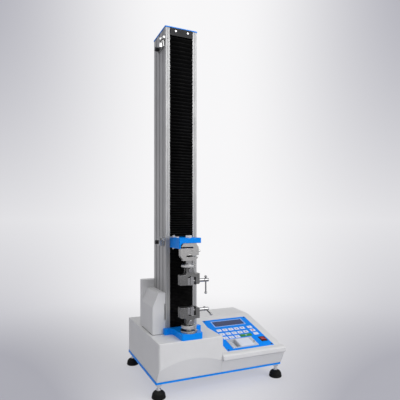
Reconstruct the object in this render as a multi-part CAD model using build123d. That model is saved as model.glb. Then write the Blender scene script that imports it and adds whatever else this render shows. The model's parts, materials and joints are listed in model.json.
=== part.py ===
from build123d import *
import os
from math import cos, pi, radians, sin, tan

os.makedirs("parts", exist_ok=True)

# Single-column universal testing machine, in millimetres.
# +Z is up, -Y is the operator's side. The origin lies on the bench, under the middle of the footprint.

# Base plate and feet
base_w = 470.0
base_d = 356.0
base_front_y = -160.0
plate_t = 8.0
plate_corner_r = 4.0
foot_h = 48.0
foot_inset = 14.0
pad_r = 23.0
pad_h = 25.0
pad_neck_r = 9.0
stud_r = 5.0
nut_af = 17.0
nut_h = 9.0

# Base cover
cover_h = 126.5
cover_inset = 2.0
cover_wall = 3.0
cover_edge_r = 5.0
cover_overhang = 23.0
block_w = 222.0
fascia_foot = 3.0
fascia_peak = 67.5
fascia_rise = 25.0
lip_reach = 9.0
lip_corner_r = 3.0
lip_low_h = 47.6
lip_top_h = 64.4
lip_under = 5.0
lip_end_r = 2.5
console_lap = 1.0
console_slope = 14.3
console_break_y = 77.0

# Load axis and column
column_x = 116.0
column_setback = 78.0
column_w = 115.0
column_d = 128.0
column_h = 1016.0
column_wall = 16.0
column_back = 15.0
column_corner_r = 2.0
strip_groove_w = 2.0
strip_groove_d = 1.2
slot_mouth = 6.0
slot_lip = 3.0
slot_inner = 12.0
slot_depth = 8.0
slot_first = 27.0
slot_pitch = 36.0
slot_count = 3
rear_slot_x = 29.0
axis_reach = 74.0
axis_shift = -2.6

# Mounting plate
mount_t = 20.0
tongue_w = 74.0
tongue_overhang = 22.0
wing_w = 131.0
wing_front = 16.0
tongue_corner_r = 7.0

# Cap and bellows
cap_t = 4.0
cap_over = 1.5
cap_screw_r = 2.5
bracket_h = 26.0
bracket_t = 3.0
bellows_w = 82.0
bellows_out = 5.0
bellows_deep = 15.0
bellows_t = 1.0
upper_pleat_count = 64
lower_pleat_count = 54
pleat_growth = 2.0
flange_t = 2.0
fit_gap = 0.3

# Drive
screw_r = 8.0
journal_r = 6.0
screw_setback = 62.0
rod_r = 8.0
rod_x = 27.0
run_gap = 0.05
block_t = 26.0
rod_seat = 12.0
bearing_r = 16.0
bearing_w = 10.0
nut_r = 14.0
nut_flange_r = 24.0
nut_len = 42.0
carriage_w = 80.0
carriage_d = 58.0
carriage_h = 92.0
bush_r = 11.0
bush_len = 30.0
belt_w = 15.0
belt_t = 2.0
belt_pitch = 5.0
screw_teeth = 36
motor_teeth = 18
tooth_depth = 1.8
pulley_wall = 2.0
motor_w = 60.0
motor_len = 70.0
pulley_hub_len = 8.0
motor_can_r = 8.0
motor_shaft_r = 7.0

# Pedestal inside the base
pedestal_w = 100.0
pedestal_wall = 10.0
pedestal_front_gap = 4.0
shelf_t = 10.0
shelf_drop = 42.0
shelf_rim = 6.0
rib_t = 5.0
rib_foot = 12.0

# Rear housing
housing_wall = 2.0
housing_side = 45.0
housing_low_h = 138.5
housing_high_h = 167.5
housing_tail = 29.0
housing_bevel_w = 20.0
housing_bevel_h = 47.0
housing_edge_r = 3.0
housing_slit_w = 4.0
housing_slit_low = 47.5
housing_slit_h = 54.0

# Crosshead at rest
arm_w = 76.0
arm_front = 14.0
arm_t = 17.0
arm_top_above_base = 326.0
cheek_t = 5.0
cheek_h = 34.5
gusset = 10.0
arm_corner_r = 2.0
strip_len = 44.0
strip_w = 14.0
strip_t = 2.5
strip_front = 34.0

# Load cell
cell_w = 63.0
cell_h = 57.0
cell_t = 18.0
cell_r = 20.0
cell_slot = 5.0
cell_slot_len = 41.5
cell_slot_end = 12.0

# Adapters
neck_r = 10.0
neck_len = 13.0
ring_r = 25.5
upper_ring_h = 7.0
lower_ring_h = 10.0
flange_r = 27.5
flange_h = 7.0
tongue_t = 10.0
tongue_half_w = 9.0
pin_r = 5.0
swing_gap = 2.0

# Grips, measured from the clamp screw's axis
grip_left = 33.0
grip_right = 33.3
grip_depth = 25.0
grip_low = 12.0
grip_high = 22.0
grip_neck_half_w = 12.0
grip_neck_top = 44.0
pin_height = 36.0
fixed_face_x = -0.6
insert_t = 7.5
jaw_w = 12.5
jaw_gap = 1.2
jaw_depth = 23.0
jaw_roof = 14.0
wall_x = 20.4
roof_relief_r = 3.0
tooth_pitch = 2.5
tooth_h = 0.9
clamp_r = 6.0
clamp_tip_r = 4.5
clamp_tip_len = 8.0
hub_x = 53.0
hub_len = 18.0
hub_r = 6.0
bar_at = 7.5
tbar_r = 2.5
tbar_len = 62.0
ball_r = 4.5
lower_tbar_dip = 12.0
upper_grip_above_base = 185.5
lower_grip_above_base = 89.5

# Limit stops
stop_front = 9.0
stop_len = 64.0
stop_h = 20.0
stop_t = 5.0
sensor_r = 4.0
sensor_len = 46.0
sensor_gap = 1.5
sensor_out = 9.0
sensor_rise = 13.0
knob_r = 7.0
knob_len = 11.0
knob_shank_r = 2.0
upper_stop_drop = 54.5
lower_stop_drop = 19.5

# Control panel, measured on the slope from the film's front left corner
film_x = 253.5
film_front = 2.0
film_w = 185.5
film_len = 217.0
film_t = 0.8
film_corner = 6.0
panel_screw_r = 2.8
key_w = 19.5
key_l = 17.0
key_t = 0.6
key_first_u = 31.5
key_pitch_u = 24.5
key_row_v = (133.5, 105.5, 80.0)
green_w = 49.0
side_key_u = 161.5
side_key_v = (133.5, 109.5, 84.5)
display_u = 94.0
display_v = 182.0
display_w = 127.0
display_l = 38.0
display_t = 8.0
printer_u = 78.0
printer_v = 38.5
printer_w = 103.0
printer_l = 57.0
printer_deep = 40.0
printer_rim = 2.0
printer_wall = 2.0
door_u0 = -15.5
door_w = 53.0
door_t = 2.2
door_gap = 0.5
door_hinge_in = 1.5
door_pin_r = 0.7
button_u = 45.0
button_v = -4.0
button_r = 3.0
button_deep = 5.0
button_out = 1.0
lamp_v = 12.0
lamp_r = 1.6
roll_r = 15.0
roll_core_r = 6.0
roll_w = 44.0
rocker_u = 166.5
rocker_v = 44.0
rocker_w = 25.0
rocker_l = 31.0
rocker_rim = 2.0
rocker_deep = 18.0
rocker_tilt = 10.0

# Inside the base
board_w = 150.0
board_l = 90.0
board_t = 1.6
board_h = 8.0
supply_w = 110.0
supply_l = 98.0
supply_h = 50.0
supply_from_right = 90.0
supply_from_rear = 110.0
board_from_front = 90.0
vent_count = 7
inlet_w = 47.0
inlet_h = 27.0
inlet_deep = 24.0
inlet_from_right = 90.0
inlet_up = 45.0

# Places worked out from the sizes above
left = -base_w / 2
right = base_w / 2
base_rear_y = base_front_y + base_d
plate_top = foot_h + plate_t
base_top = plate_top + cover_h
mid_x = left + column_x
axis_x = mid_x + axis_shift
column_front = base_front_y + column_setback
column_rear = column_front + column_d
load_y = column_front - axis_reach
mount_top = base_top + mount_t
column_top = mount_top + column_h
block_right = left + cover_inset + block_w
cover_front = base_front_y - cover_overhang
cover_rear = base_rear_y - 1.0
fascia_y = base_front_y - fascia_foot
screw_y = column_front + screw_setback
channel_half = column_w / 2 - column_wall
channel_rear = column_rear - column_back
arm_top = base_top + arm_top_above_base
arm_under = arm_top - arm_t
arm_low = arm_top - cheek_h
arm_x0 = axis_x - arm_w / 2
arm_x1 = arm_x0 + arm_w
cell_top = arm_under
cell_bottom = cell_top - cell_h
upper_grip_z = base_top + upper_grip_above_base
lower_grip_z = base_top + lower_grip_above_base
shelf_top = base_top - shelf_drop
motor_y = (column_rear - pedestal_front_gap + cover_rear - cover_wall) / 2
upper_stop_z = column_top - upper_stop_drop
lower_stop_z = arm_top - lower_stop_drop
jaw_face_x = fixed_face_x + jaw_gap
jaw_back_x = jaw_face_x + jaw_w


def box(x0, x1, y0, y1, z0, z1):
    size = Box(x1 - x0, y1 - y0, z1 - z0)
    return Pos((x0 + x1) / 2, (y0 + y1) / 2, (z0 + z1) / 2) * size


def rod_z(x, y, z0, z1, r):
    return Pos(x, y, (z0 + z1) / 2) * Cylinder(r, z1 - z0)


def rod_x_axis(x0, x1, y, z, r):
    return Pos((x0 + x1) / 2, y, z) * Rot(0, 90, 0) * Cylinder(r, x1 - x0)


def rod_y_axis(x, y0, y1, z, r):
    return Pos(x, (y0 + y1) / 2, z) * Rot(90, 0, 0) * Cylinder(r, y1 - y0)


def slab_x(points, x0, x1):
    # A profile of (y, z) points, pulled along X
    return extrude(Plane.YZ.offset(x0) * Polygon(*points, align=None), x1 - x0, dir=(1, 0, 0))


def slab_y(points, y0, y1):
    # A profile of (x, z) points, pulled along Y
    return extrude(Plane.XZ.offset(-y0) * Polygon(*points, align=None), y1 - y0, dir=(0, 1, 0))


def save(name, shape):
    export_step(shape, f"parts/{name}.step")


def group(solids):
    return Compound(children=list(solids))


def hex_nut(x, y, z0, h, af, bore):
    body = extrude(Plane.XY.offset(z0) * Pos(x, y) * RegularPolygon(af / 2, 6, major_radius=False), h)
    return body - rod_z(x, y, z0, z0 + h, bore)


def button_screw(x, y, z, r, head_h, shank_r, shank_len):
    # Domed head above z, shank below it, with a hexagon socket
    head = rod_z(x, y, z, z + head_h, r)
    head = fillet(head.edges().filter_by(GeomType.CIRCLE).sort_by(Axis.Z)[-1], head_h * 0.55)
    socket = extrude(Plane.XY.offset(z + head_h * 0.45) * Pos(x, y) * RegularPolygon(r * 0.4, 6), head_h)
    return head - socket + rod_z(x, y, z - shank_len, z, shank_r)


# Base

def foot_places():
    xs = (left + foot_inset, right - foot_inset)
    ys = (base_front_y + foot_inset, base_rear_y - foot_inset)
    return [(x, y) for x in xs for y in ys]


def base_plate():
    plate = box(left, right, base_front_y, base_rear_y, foot_h, plate_top)
    plate = fillet(plate.edges().filter_by(Axis.Z), plate_corner_r)
    for x, y in foot_places():
        plate -= rod_z(x, y, foot_h, plate_top, stud_r)
    return plate


def foot_pads():
    skirt = pad_h * 0.3
    outline = [
        Line((0, 0), (pad_r - 4, 0)),
        ThreePointArc((pad_r - 4, 0), (pad_r - 0.6, skirt * 0.35), (pad_r - 1.5, skirt)),
        ThreePointArc((pad_r - 1.5, skirt), (pad_r - 5, pad_h * 0.78), (pad_neck_r, pad_h)),
        Line((pad_neck_r, pad_h), (0, pad_h)),
        Line((0, pad_h), (0, 0)),
    ]
    pad = revolve(Plane.XZ * make_face(outline), Axis.Z)
    socket = rod_z(0, 0, pad_h * 0.4, pad_h, stud_r + 1)
    return group([Pos(x, y, 0) * (pad - socket) for x, y in foot_places()])


def foot_studs():
    studs = []
    for x, y in foot_places():
        ball = rod_z(x, y, pad_h * 0.4, pad_h + 1, stud_r + 1)
        cup = Pos(x, y, pad_h + 3) * Cylinder(pad_neck_r - 1.5, 4)
        shaft = rod_z(x, y, pad_h, plate_top + 4, stud_r)
        nut = hex_nut(x, y, foot_h - nut_h, nut_h, nut_af, stud_r - 1)
        studs.append(ball + cup + shaft + nut)
    return group(studs)


def block_profile(shrink):
    # Side view of the high block; shrink moves every face inwards
    foot = fascia_y + shrink
    front = cover_front + shrink
    rear = cover_rear - shrink
    top = base_top - shrink
    if shrink:
        knee = plate_top + fascia_peak + shrink
        return [(rear, plate_top), (rear, top), (front, top), (front, knee), (foot, plate_top)]
    return [(rear, plate_top), (rear, top), (front, top), (front, plate_top)]


def console_face(shrink):
    # Side view of the console: flat top, slope, rounded lip and slanted fascia
    drop = shrink / cos(radians(console_slope))
    lip_y = cover_front - lip_reach + shrink
    slope_end_y = base_front_y - film_front - 3.0
    slope_end_z = base_top - (console_break_y - slope_end_y) * tan(radians(console_slope))
    points = [
        (cover_rear - shrink, plate_top),
        (cover_rear - shrink, base_top - shrink),
        (console_break_y, base_top - drop),
        (slope_end_y, slope_end_z - drop),
        (cover_front - 3.0 + shrink, plate_top + lip_top_h - shrink),
        (lip_y, plate_top + lip_top_h - 4.0 - shrink),
        (lip_y, plate_top + lip_low_h),
        (cover_front - 1.0 + shrink, plate_top + lip_low_h - lip_under),
        (fascia_y + shrink, plate_top),
    ]
    face = Plane.YZ * Polygon(*points, align=None)
    if shrink:
        return face
    corners = face.vertices().filter_by_position(Axis.Y, lip_y - 1, cover_front)
    return fillet(corners, lip_corner_r)


def fascia_cutter():
    # The block's slanted fascia: its upper edge is an arc on the front face
    sections = []
    half = block_w / 2 + 2.0
    middle = block_right - block_w / 2 + 4.0
    steps = 6
    reach = 12.0
    for i in range(steps + 1):
        x = middle - half - 4.0 + (2 * half + 4.0) * i / steps
        top = fascia_peak - fascia_rise * ((x - middle) / half) ** 2
        slope = cover_overhang - fascia_foot
        out = slope * reach / top
        profile = [
            (fascia_y + out * 0.2, plate_top - reach * 0.2),
            (cover_front - out, plate_top + top + reach),
            (cover_front - 60.0, plate_top + top + reach),
            (cover_front - 60.0, plate_top - reach * 0.2),
        ]
        sections.append(Plane.YZ.offset(x) * Polygon(*profile, align=None))
    return loft(sections)


def base_cover():
    x0 = left + cover_inset
    x1 = right - cover_inset
    block = slab_x(block_profile(0), x0, block_right)
    front_edges = block.edges().filter_by(Axis.Z).group_by(Axis.Y)[0].sort_by(Axis.X)
    block = fillet(front_edges[0], cover_edge_r + 2)
    block -= fascia_cutter()
    console = extrude(console_face(0), x1 - block_right + console_lap)
    end_edges = console.faces().sort_by(Axis.X)[0].edges()
    lip_edges = [e for e in end_edges if e.center().Y < cover_front - 3 and e.center().Z > plate_top + lip_low_h]
    console = fillet(lip_edges, lip_end_r)
    shell = block + Pos(block_right - console_lap, 0, 0) * console
    shell = fillet(shell.edges().filter_by_position(Axis.Z, base_top - 0.1, base_top + 0.1), 3.0)
    inner_block = slab_x(block_profile(cover_wall), x0 + cover_wall, block_right - cover_wall)
    inner_console = extrude(console_face(cover_wall), x1 - block_right)
    shell -= inner_block
    shell -= Pos(block_right - cover_wall, 0, 0) * inner_console
    shell -= pedestal_hole()
    shell -= panel_place(printer_u, printer_v) * Box(printer_w - 4, printer_l - 4, 60)
    shell -= panel_place(display_u, display_v) * Box(display_w - 4, display_l - 4, 30)
    shell -= panel_place(rocker_u, rocker_v) * Box(rocker_w - 3, rocker_l - 3, 40)
    shell -= inlet_hole()
    return shell


def pedestal_hole():
    half = pedestal_w / 2 + 1
    y0 = column_front + pedestal_front_gap - 1
    y1 = column_rear - pedestal_front_gap + 1
    return box(mid_x - half, mid_x + half, y0, y1, base_top - 10, base_top + 1)


def pedestal():
    # A square tube stands on the base plate; a shelf behind it carries the motor
    half = pedestal_w / 2
    y0 = column_front + pedestal_front_gap
    y1 = column_rear - pedestal_front_gap
    tube = box(mid_x - half, mid_x + half, y0, y1, plate_top, base_top)
    inner = half - pedestal_wall
    tube -= box(mid_x - inner, mid_x + inner, y0 + pedestal_wall, y1 - pedestal_wall, plate_top, base_top)
    window = shelf_top + belt_w + 12
    tube -= box(mid_x - inner, mid_x + inner, y1 - pedestal_wall - 1, y1 + 1, shelf_top, window)
    shelf_half = motor_w / 2 + shelf_rim
    rear = motor_y + motor_w / 2 + shelf_rim
    shelf = box(mid_x - shelf_half, mid_x + shelf_half, y1, rear, shelf_top - shelf_t, shelf_top)
    shelf -= rod_z(mid_x, motor_y, shelf_top - shelf_t, shelf_top, motor_shaft_r + 9)
    rib = [(y1, shelf_top - shelf_t), (rear, shelf_top - shelf_t), (y1, plate_top + rib_foot)]
    ribs = slab_x(rib, mid_x - shelf_half, mid_x - shelf_half + rib_t)
    ribs += slab_x(rib, mid_x + shelf_half - rib_t, mid_x + shelf_half)
    return tube + shelf + ribs


def mounting_plate():
    half_t = tongue_w / 2
    half_w = wing_w / 2
    half_c = column_w / 2
    tip = base_front_y - tongue_overhang
    wing = column_front - wing_front
    points = [
        (mid_x - half_t, tip),
        (mid_x + half_t, tip),
        (mid_x + half_t, wing),
        (mid_x + half_w, wing),
        (mid_x + half_w, column_front - fit_gap),
        (mid_x + half_c, column_front - fit_gap),
        (mid_x + half_c, column_rear),
        (mid_x - half_c, column_rear),
        (mid_x - half_c, column_front - fit_gap),
        (mid_x - half_w, column_front - fit_gap),
        (mid_x - half_w, wing),
        (mid_x - half_t, wing),
    ]
    plate = extrude(Plane.XY.offset(base_top) * Polygon(*points, align=None), mount_t)
    tips = plate.edges().filter_by(Axis.Z).group_by(Axis.Y)[0]
    plate = fillet(tips, tongue_corner_r)
    inner = [e for e in plate.edges().filter_by(Axis.Z) if abs(e.center().Y - wing) < 0.1
             and abs(abs(e.center().X - mid_x) - half_t) < 0.1]
    plate = fillet(inner, 10.0)
    plate -= rod_z(mid_x, screw_y, base_top, mount_top, bearing_r - 2)
    return plate


# Column

def t_slot():
    # A T-shaped groove that opens towards -X, with its mouth at x = 0
    mouth = Pos(slot_lip / 2, 0) * Rectangle(slot_lip, slot_mouth)
    inner_d = slot_depth - slot_lip
    inner = Pos(slot_lip + inner_d / 2, 0) * Rectangle(inner_d, slot_inner)
    return mouth + inner


def column():
    x0 = mid_x - column_w / 2
    x1 = mid_x + column_w / 2
    outline = Pos(mid_x, (column_front + column_rear) / 2) * RectangleRounded(column_w, column_d, column_corner_r)
    channel_d = channel_rear - column_front
    outline -= Pos(mid_x, column_front + channel_d / 2) * Rectangle(2 * channel_half, channel_d)
    for i in range(slot_count):
        y = column_front + slot_first + slot_pitch * i
        outline -= Pos(x0, y) * t_slot()
        outline -= Pos(x1, y) * Rot(0, 0, 180) * t_slot()
    strip_x = column_w / 2 - column_wall / 2
    for side in (-1, 1):
        outline -= Pos(mid_x + side * rear_slot_x, column_rear) * Rot(0, 0, -90) * t_slot()
        outline -= Pos(mid_x + side * strip_x, column_front) * Rectangle(strip_groove_w, 2 * strip_groove_d)
    return extrude(Plane.XY.offset(mount_top) * outline, column_h)


def column_cap():
    x0 = mid_x - column_w / 2 - cap_over
    x1 = mid_x + column_w / 2 + cap_over
    cap = box(x0, x1, column_front - cap_over, column_rear + cap_over, column_top, column_top + cap_t)
    cap = fillet(cap.edges().filter_by(Axis.Z), column_corner_r + 1)
    cap = fillet(cap.edges().group_by(Axis.Z)[-1], 1.0)
    for x, y in cap_screw_places():
        cap -= rod_z(x, y, column_top, column_top + cap_t, cap_screw_r)
    return cap


def cap_screw_places():
    half = column_w / 2 - column_wall / 2
    ys = (column_front + 12, column_rear - 10)
    return [(mid_x + s * half, y) for s in (-1, 1) for y in ys]


def column_screws():
    screws = [button_screw(x, y, column_top + cap_t, 5.0, 3.0, cap_screw_r, cap_t) for x, y in cap_screw_places()]
    bracket_y = column_front - bracket_t
    for side in (-1, 1):
        screw = button_screw(0, 0, 0, 4.0, 2.6, 2.0, bracket_t)
        place = Pos(mid_x + side * 22, bracket_y, column_top - bracket_h * 0.42)
        screws.append(place * Rot(90, 0, 0) * screw)
    return group(screws)


def bellows_top_bracket():
    # A folded plate that closes the channel at the top and holds the upper bellows
    half = bellows_w / 2
    plate = box(mid_x - half, mid_x + half, column_front - bracket_t, column_front,
                column_top - bracket_h, column_top)
    foot = box(mid_x - half, mid_x + half, column_front, column_front + bellows_deep,
               column_top - bracket_h, column_top - bracket_h + bracket_t)
    edge = (plate + foot)
    for side in (-1, 1):
        edge -= rod_y_axis(mid_x + side * 22, column_front - bracket_t, column_front,
                           column_top - bracket_h * 0.42, 2.0)
    return edge


def pleats(z0, z1, count, growth):
    # A folded sheet from z0 to z1; the last pleat is growth times as wide as the first
    front = column_front - bellows_out
    back = front + bellows_deep
    total = z1 - z0 - 2 * flange_t
    outer = []
    inner = []
    for i in range(2 * count + 1):
        share = i / (2 * count)
        if growth > 1:
            share = (growth ** share - 1) / (growth - 1)
        z = z0 + flange_t + total * share
        y = front if i % 2 else back - bellows_t * 2
        outer.append((y, z))
        inner.append((y + bellows_t * 2, z))
    sheet = slab_x(outer + inner[::-1], mid_x - bellows_w / 2, mid_x + bellows_w / 2)
    ends = [(z0, z0 + flange_t), (z1 - flange_t, z1)]
    for low, high in ends:
        sheet += box(mid_x - bellows_w / 2, mid_x + bellows_w / 2, front, back, low, high)
    return sheet


def bellows_upper():
    return pleats(arm_top + fit_gap, column_top - bracket_h - fit_gap, upper_pleat_count, pleat_growth)


def bellows_lower():
    return pleats(mount_top, arm_low - fit_gap, lower_pleat_count, 1.0)


def rear_housing():
    x0 = mid_x - column_w / 2 - housing_side
    x1 = mid_x + column_w / 2 + housing_side
    side_x = mid_x - column_w / 2 - fit_gap
    tail_y = column_rear + fit_gap
    rear_y = tail_y + housing_tail
    low_z = base_top + housing_low_h
    high_z = base_top + housing_high_h
    bevel = [
        (x0, base_top),
        (side_x, base_top),
        (side_x, low_z),
        (x0 + housing_bevel_w, low_z),
        (x0, low_z - housing_bevel_h),
    ]
    front = slab_y(bevel, column_front, tail_y + 5)
    tail = box(x0, x1, tail_y, rear_y, base_top, high_z)
    tall_edges = tail.edges().filter_by(Axis.Z).group_by(Axis.Y)[-1]
    tail = fillet(tall_edges, housing_edge_r + 3)
    tail = fillet(tail.edges().group_by(Axis.Z)[-1], housing_edge_r - 0.5)
    w = housing_wall
    bevel_in = [
        (x0 + w, base_top),
        (side_x - w, base_top),
        (side_x - w, low_z - w),
        (x0 + housing_bevel_w + w * 0.6, low_z - w),
        (x0 + w, low_z - housing_bevel_h - w * 0.4),
    ]
    hollow = slab_y(bevel_in, column_front + w, tail_y + 6)
    hollow += box(x0 + w, x1 - w, tail_y + w, rear_y - w, base_top, high_z - w)
    cover = front + tail - hollow
    cover -= box(side_x - housing_slit_w, side_x, column_front, column_front + 6,
                 base_top + housing_slit_low, base_top + housing_slit_low + housing_slit_h)
    return cover


# Drive

def guide_rods():
    top = column_top - block_t + rod_seat
    low = mount_top + block_t - rod_seat
    return group([rod_z(mid_x + s * rod_x, screw_y, low, top, rod_r) for s in (-1, 1)])


def bearing_block(z0, z1, bearing_z):
    # A block across the channel, bored for the screw's bearing and the two guide rods
    half = channel_half - fit_gap
    block = box(mid_x - half, mid_x + half, screw_y - 24, channel_rear, z0, z1)
    block -= rod_z(mid_x, screw_y, z0, z1, journal_r + 4)
    block -= rod_z(mid_x, screw_y, bearing_z, bearing_z + bearing_w, bearing_r)
    return block


def bearing_blocks():
    low = bearing_block(mount_top, mount_top + block_t, mount_top + block_t - bearing_w)
    high = bearing_block(column_top - block_t, column_top, column_top - block_t)
    for s in (-1, 1):
        x = mid_x + s * rod_x
        low -= rod_z(x, screw_y, mount_top + block_t - rod_seat, mount_top + block_t, rod_r)
        high -= rod_z(x, screw_y, column_top - block_t, column_top - block_t + rod_seat, rod_r)
    return group([low, high])


def screw_bearings():
    rings = []
    for z in (mount_top + block_t - bearing_w, column_top - block_t):
        ring = rod_z(mid_x, screw_y, z, z + bearing_w, bearing_r)
        rings.append(ring - rod_z(mid_x, screw_y, z, z + bearing_w, journal_r + run_gap))
    return group(rings)


def ball_screw():
    thread = rod_z(mid_x, screw_y, mount_top + block_t + 1, column_top - block_t - 1, screw_r)
    top = rod_z(mid_x, screw_y, column_top - block_t - 1, column_top - block_t + bearing_w + 3, journal_r)
    bottom = rod_z(mid_x, screw_y, shelf_top, mount_top + block_t + 1, journal_r)
    return thread + top + bottom


def toothed_disc(teeth, width):
    # Timing pulley: trapezoid gaps around the pitch circle
    pitch_r = teeth * belt_pitch / (2 * pi)
    tip_r = pitch_r - 0.6
    step = 2 * pi / teeth
    points = []
    for i in range(teeth):
        a = i * step
        for turn, r in ((-0.28, tip_r), (0.28, tip_r), (0.36, tip_r - tooth_depth), (0.64, tip_r - tooth_depth)):
            points.append((r * cos(a + turn * step), r * sin(a + turn * step)))
    return extrude(Polygon(*points, align=None), width)


def pulley(teeth, bore):
    pitch_r = teeth * belt_pitch / (2 * pi)
    body = Pos(0, 0, pulley_wall) * toothed_disc(teeth, belt_w + 2)
    for z in (0, belt_w + 2 + pulley_wall):
        body += rod_z(0, 0, z, z + pulley_wall, pitch_r + 1.5)
    hub_z = belt_w + 2 + 2 * pulley_wall
    hub = rod_z(0, 0, hub_z, hub_z + pulley_hub_len, pitch_r * 0.55)
    return body + hub - rod_z(0, 0, 0, hub_z + pulley_hub_len, bore)


def screw_pulley():
    return Pos(mid_x, screw_y, shelf_top + 3) * pulley(screw_teeth, journal_r)


def motor_pulley():
    body = Pos(mid_x, motor_y, shelf_top + 3) * pulley(motor_teeth, motor_shaft_r)
    return body + rod_z(mid_x, motor_y, shelf_top - shelf_t + 1, shelf_top + 3 + belt_w + 8, motor_shaft_r)


def timing_belt():
    r1 = screw_teeth * belt_pitch / (2 * pi)
    r2 = motor_teeth * belt_pitch / (2 * pi)

    def loop(extra):
        small = Pos(mid_x, motor_y) * Circle(r2 + extra)
        large = Pos(mid_x, screw_y) * Circle(r1 + extra)
        return make_hull(small.edges() + large.edges())

    z = shelf_top + 3 + pulley_wall + 1
    band = extrude(Plane.XY.offset(z) * loop(belt_t - 0.6), belt_w)
    return band - extrude(Plane.XY.offset(z) * loop(fit_gap - 0.6), belt_w)


def drive_motor():
    top = shelf_top - shelf_t
    half = motor_w / 2
    flange = box(mid_x - half, mid_x + half, motor_y - half, motor_y + half, top - 8, top)
    can = box(mid_x - half + 2, mid_x + half - 2, motor_y - half + 2, motor_y + half - 2,
              top - motor_len, top - 8)
    can = fillet(can.edges().filter_by(Axis.Z), motor_can_r)
    body = fillet(flange.edges().filter_by(Axis.Z), 4) + can
    body += rod_z(mid_x, motor_y, top, top + 3, motor_shaft_r + 8)
    return body - rod_z(mid_x, motor_y, top - 6, top + 3, motor_shaft_r + 0.1)


def carriage():
    half = carriage_w / 2
    y0 = screw_y - carriage_d / 2
    z_mid = arm_top - arm_t / 2
    z0 = z_mid - carriage_h / 2
    block = box(mid_x - half, mid_x + half, y0, y0 + carriage_d, z0, z0 + carriage_h)
    block = fillet(block.edges().filter_by(Axis.Z), 3)
    block -= rod_z(mid_x, screw_y, z0, z0 + carriage_h, nut_r)
    for s in (-1, 1):
        block -= rod_z(mid_x + s * rod_x, screw_y, z0, z0 + carriage_h, bush_r)
    return block


def linear_bushings():
    z_mid = arm_top - arm_t / 2
    z0 = z_mid - carriage_h / 2
    bushes = []
    for s in (-1, 1):
        for z in (z0, z0 + carriage_h - bush_len):
            x = mid_x + s * rod_x
            bush = rod_z(x, screw_y, z, z + bush_len, bush_r)
            bushes.append(bush - rod_z(x, screw_y, z, z + bush_len, rod_r + run_gap))
    return group(bushes)


def ball_nut():
    z0 = arm_top - arm_t / 2 - carriage_h / 2
    nut = rod_z(mid_x, screw_y, z0, z0 + nut_len, nut_r)
    flange = rod_z(mid_x, screw_y, z0 - 9, z0, nut_flange_r)
    cut = nut_flange_r * 0.7
    flange -= box(mid_x + cut, mid_x + nut_flange_r, screw_y - 30, screw_y + 30, z0 - 10, z0)
    flange -= box(mid_x - nut_flange_r, mid_x - cut, screw_y - 30, screw_y + 30, z0 - 10, z0)
    return nut + flange - rod_z(mid_x, screw_y, z0 - 9, z0 + nut_len, screw_r + run_gap)


# Crosshead

def crosshead_arm():
    front = load_y - arm_front
    rear = screw_y - carriage_d / 2
    top = box(arm_x0, arm_x1, front, rear, arm_under, arm_top)
    cheek = box(arm_x0, arm_x0 + cheek_t, front, rear, arm_low, arm_under)
    arm = top + cheek
    curve = box(arm_x0 + cheek_t, arm_x0 + cheek_t + gusset, front, rear, arm_under - gusset, arm_under)
    curve -= rod_y_axis(arm_x0 + cheek_t + gusset, front, rear, arm_under - gusset, gusset)
    arm += curve
    arm = fillet(arm.edges().filter_by(Axis.Z).group_by(Axis.Y)[0], arm_corner_r)
    flange = box(mid_x - bellows_w / 2 + 4, mid_x + bellows_w / 2 - 4, rear - 8, rear, arm_low, arm_top)
    arm += flange
    return arm - rod_z(axis_x, load_y, arm_under, arm_top, 6.0)


def arm_bolts():
    cheek_x = arm_x0 + cheek_t / 2 + 2.5
    places = [(cheek_x, load_y + 52), (cheek_x, load_y + 14)]
    rise = (strip_t, 0)
    bolts = []
    for (x, y), lift in zip(places, rise):
        head = hex_nut(x, y, arm_top + lift, 4.0, 8.0, 1.0) + rod_z(x, y, arm_top + lift, arm_top + lift + 3, 2)
        bolts.append(head)
    bolts.append(hex_nut(axis_x, load_y, arm_top, 8.0, 19.0, 3.0) + rod_z(axis_x, load_y, arm_top, arm_top + 8, 6))
    x, y = places[0]
    bolts.append(hex_nut(x, y, arm_low - 4, 4.0, 8.0, 1.0) + rod_z(x, y, arm_low - 3, arm_low, 2))
    return group(bolts)


def trip_strip():
    x1 = arm_x0 + 12
    y0 = column_front - strip_front + 6
    strip = box(x1 - strip_len, x1, y0, y0 + strip_w, arm_top, arm_top + strip_t)
    return fillet(strip.edges().filter_by(Axis.Z).group_by(Axis.X)[0], 3)


def load_cell():
    x_mid = axis_x
    face = Pos(x_mid, (cell_top + cell_bottom) / 2) * Rectangle(cell_w, cell_h)
    corners = face.vertices()
    face = fillet(corners, cell_r)
    slot_top = cell_top - cell_slot_end
    slot_low = cell_bottom + cell_slot_end + cell_slot
    half = cell_w / 2
    r = cell_slot / 2
    end_x = x_mid - half + cell_slot_len
    face -= Pos((x_mid - half + end_x) / 2, slot_top - r) * Rectangle(cell_slot_len, cell_slot)
    face -= Pos(end_x, slot_top - r) * Circle(r)
    start_x = x_mid + half - cell_slot_len
    face -= Pos((x_mid + half + start_x) / 2, slot_low - r) * Rectangle(cell_slot_len, cell_slot)
    face -= Pos(start_x, slot_low - r) * Circle(r)
    body = extrude(Plane.XZ.offset(-load_y - cell_t / 2) * face, cell_t)
    pad = cell_w * 0.36
    body += box(x_mid - pad, x_mid + pad, load_y - cell_t / 2, load_y + cell_t / 2, cell_top - 8, cell_top)
    body += box(x_mid - pad, x_mid + pad, load_y - cell_t / 2, load_y + cell_t / 2, cell_bottom, cell_bottom + 8)
    recess = Pos(x_mid, load_y - cell_t / 2, (cell_top + cell_bottom) / 2) * Rot(90, 0, 0) * Cylinder(9, 3)
    body -= recess
    gland = rod_x_axis(x_mid + half - 2, x_mid + half + 8, load_y, cell_top - 26, 3.5)
    return body + gland


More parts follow.
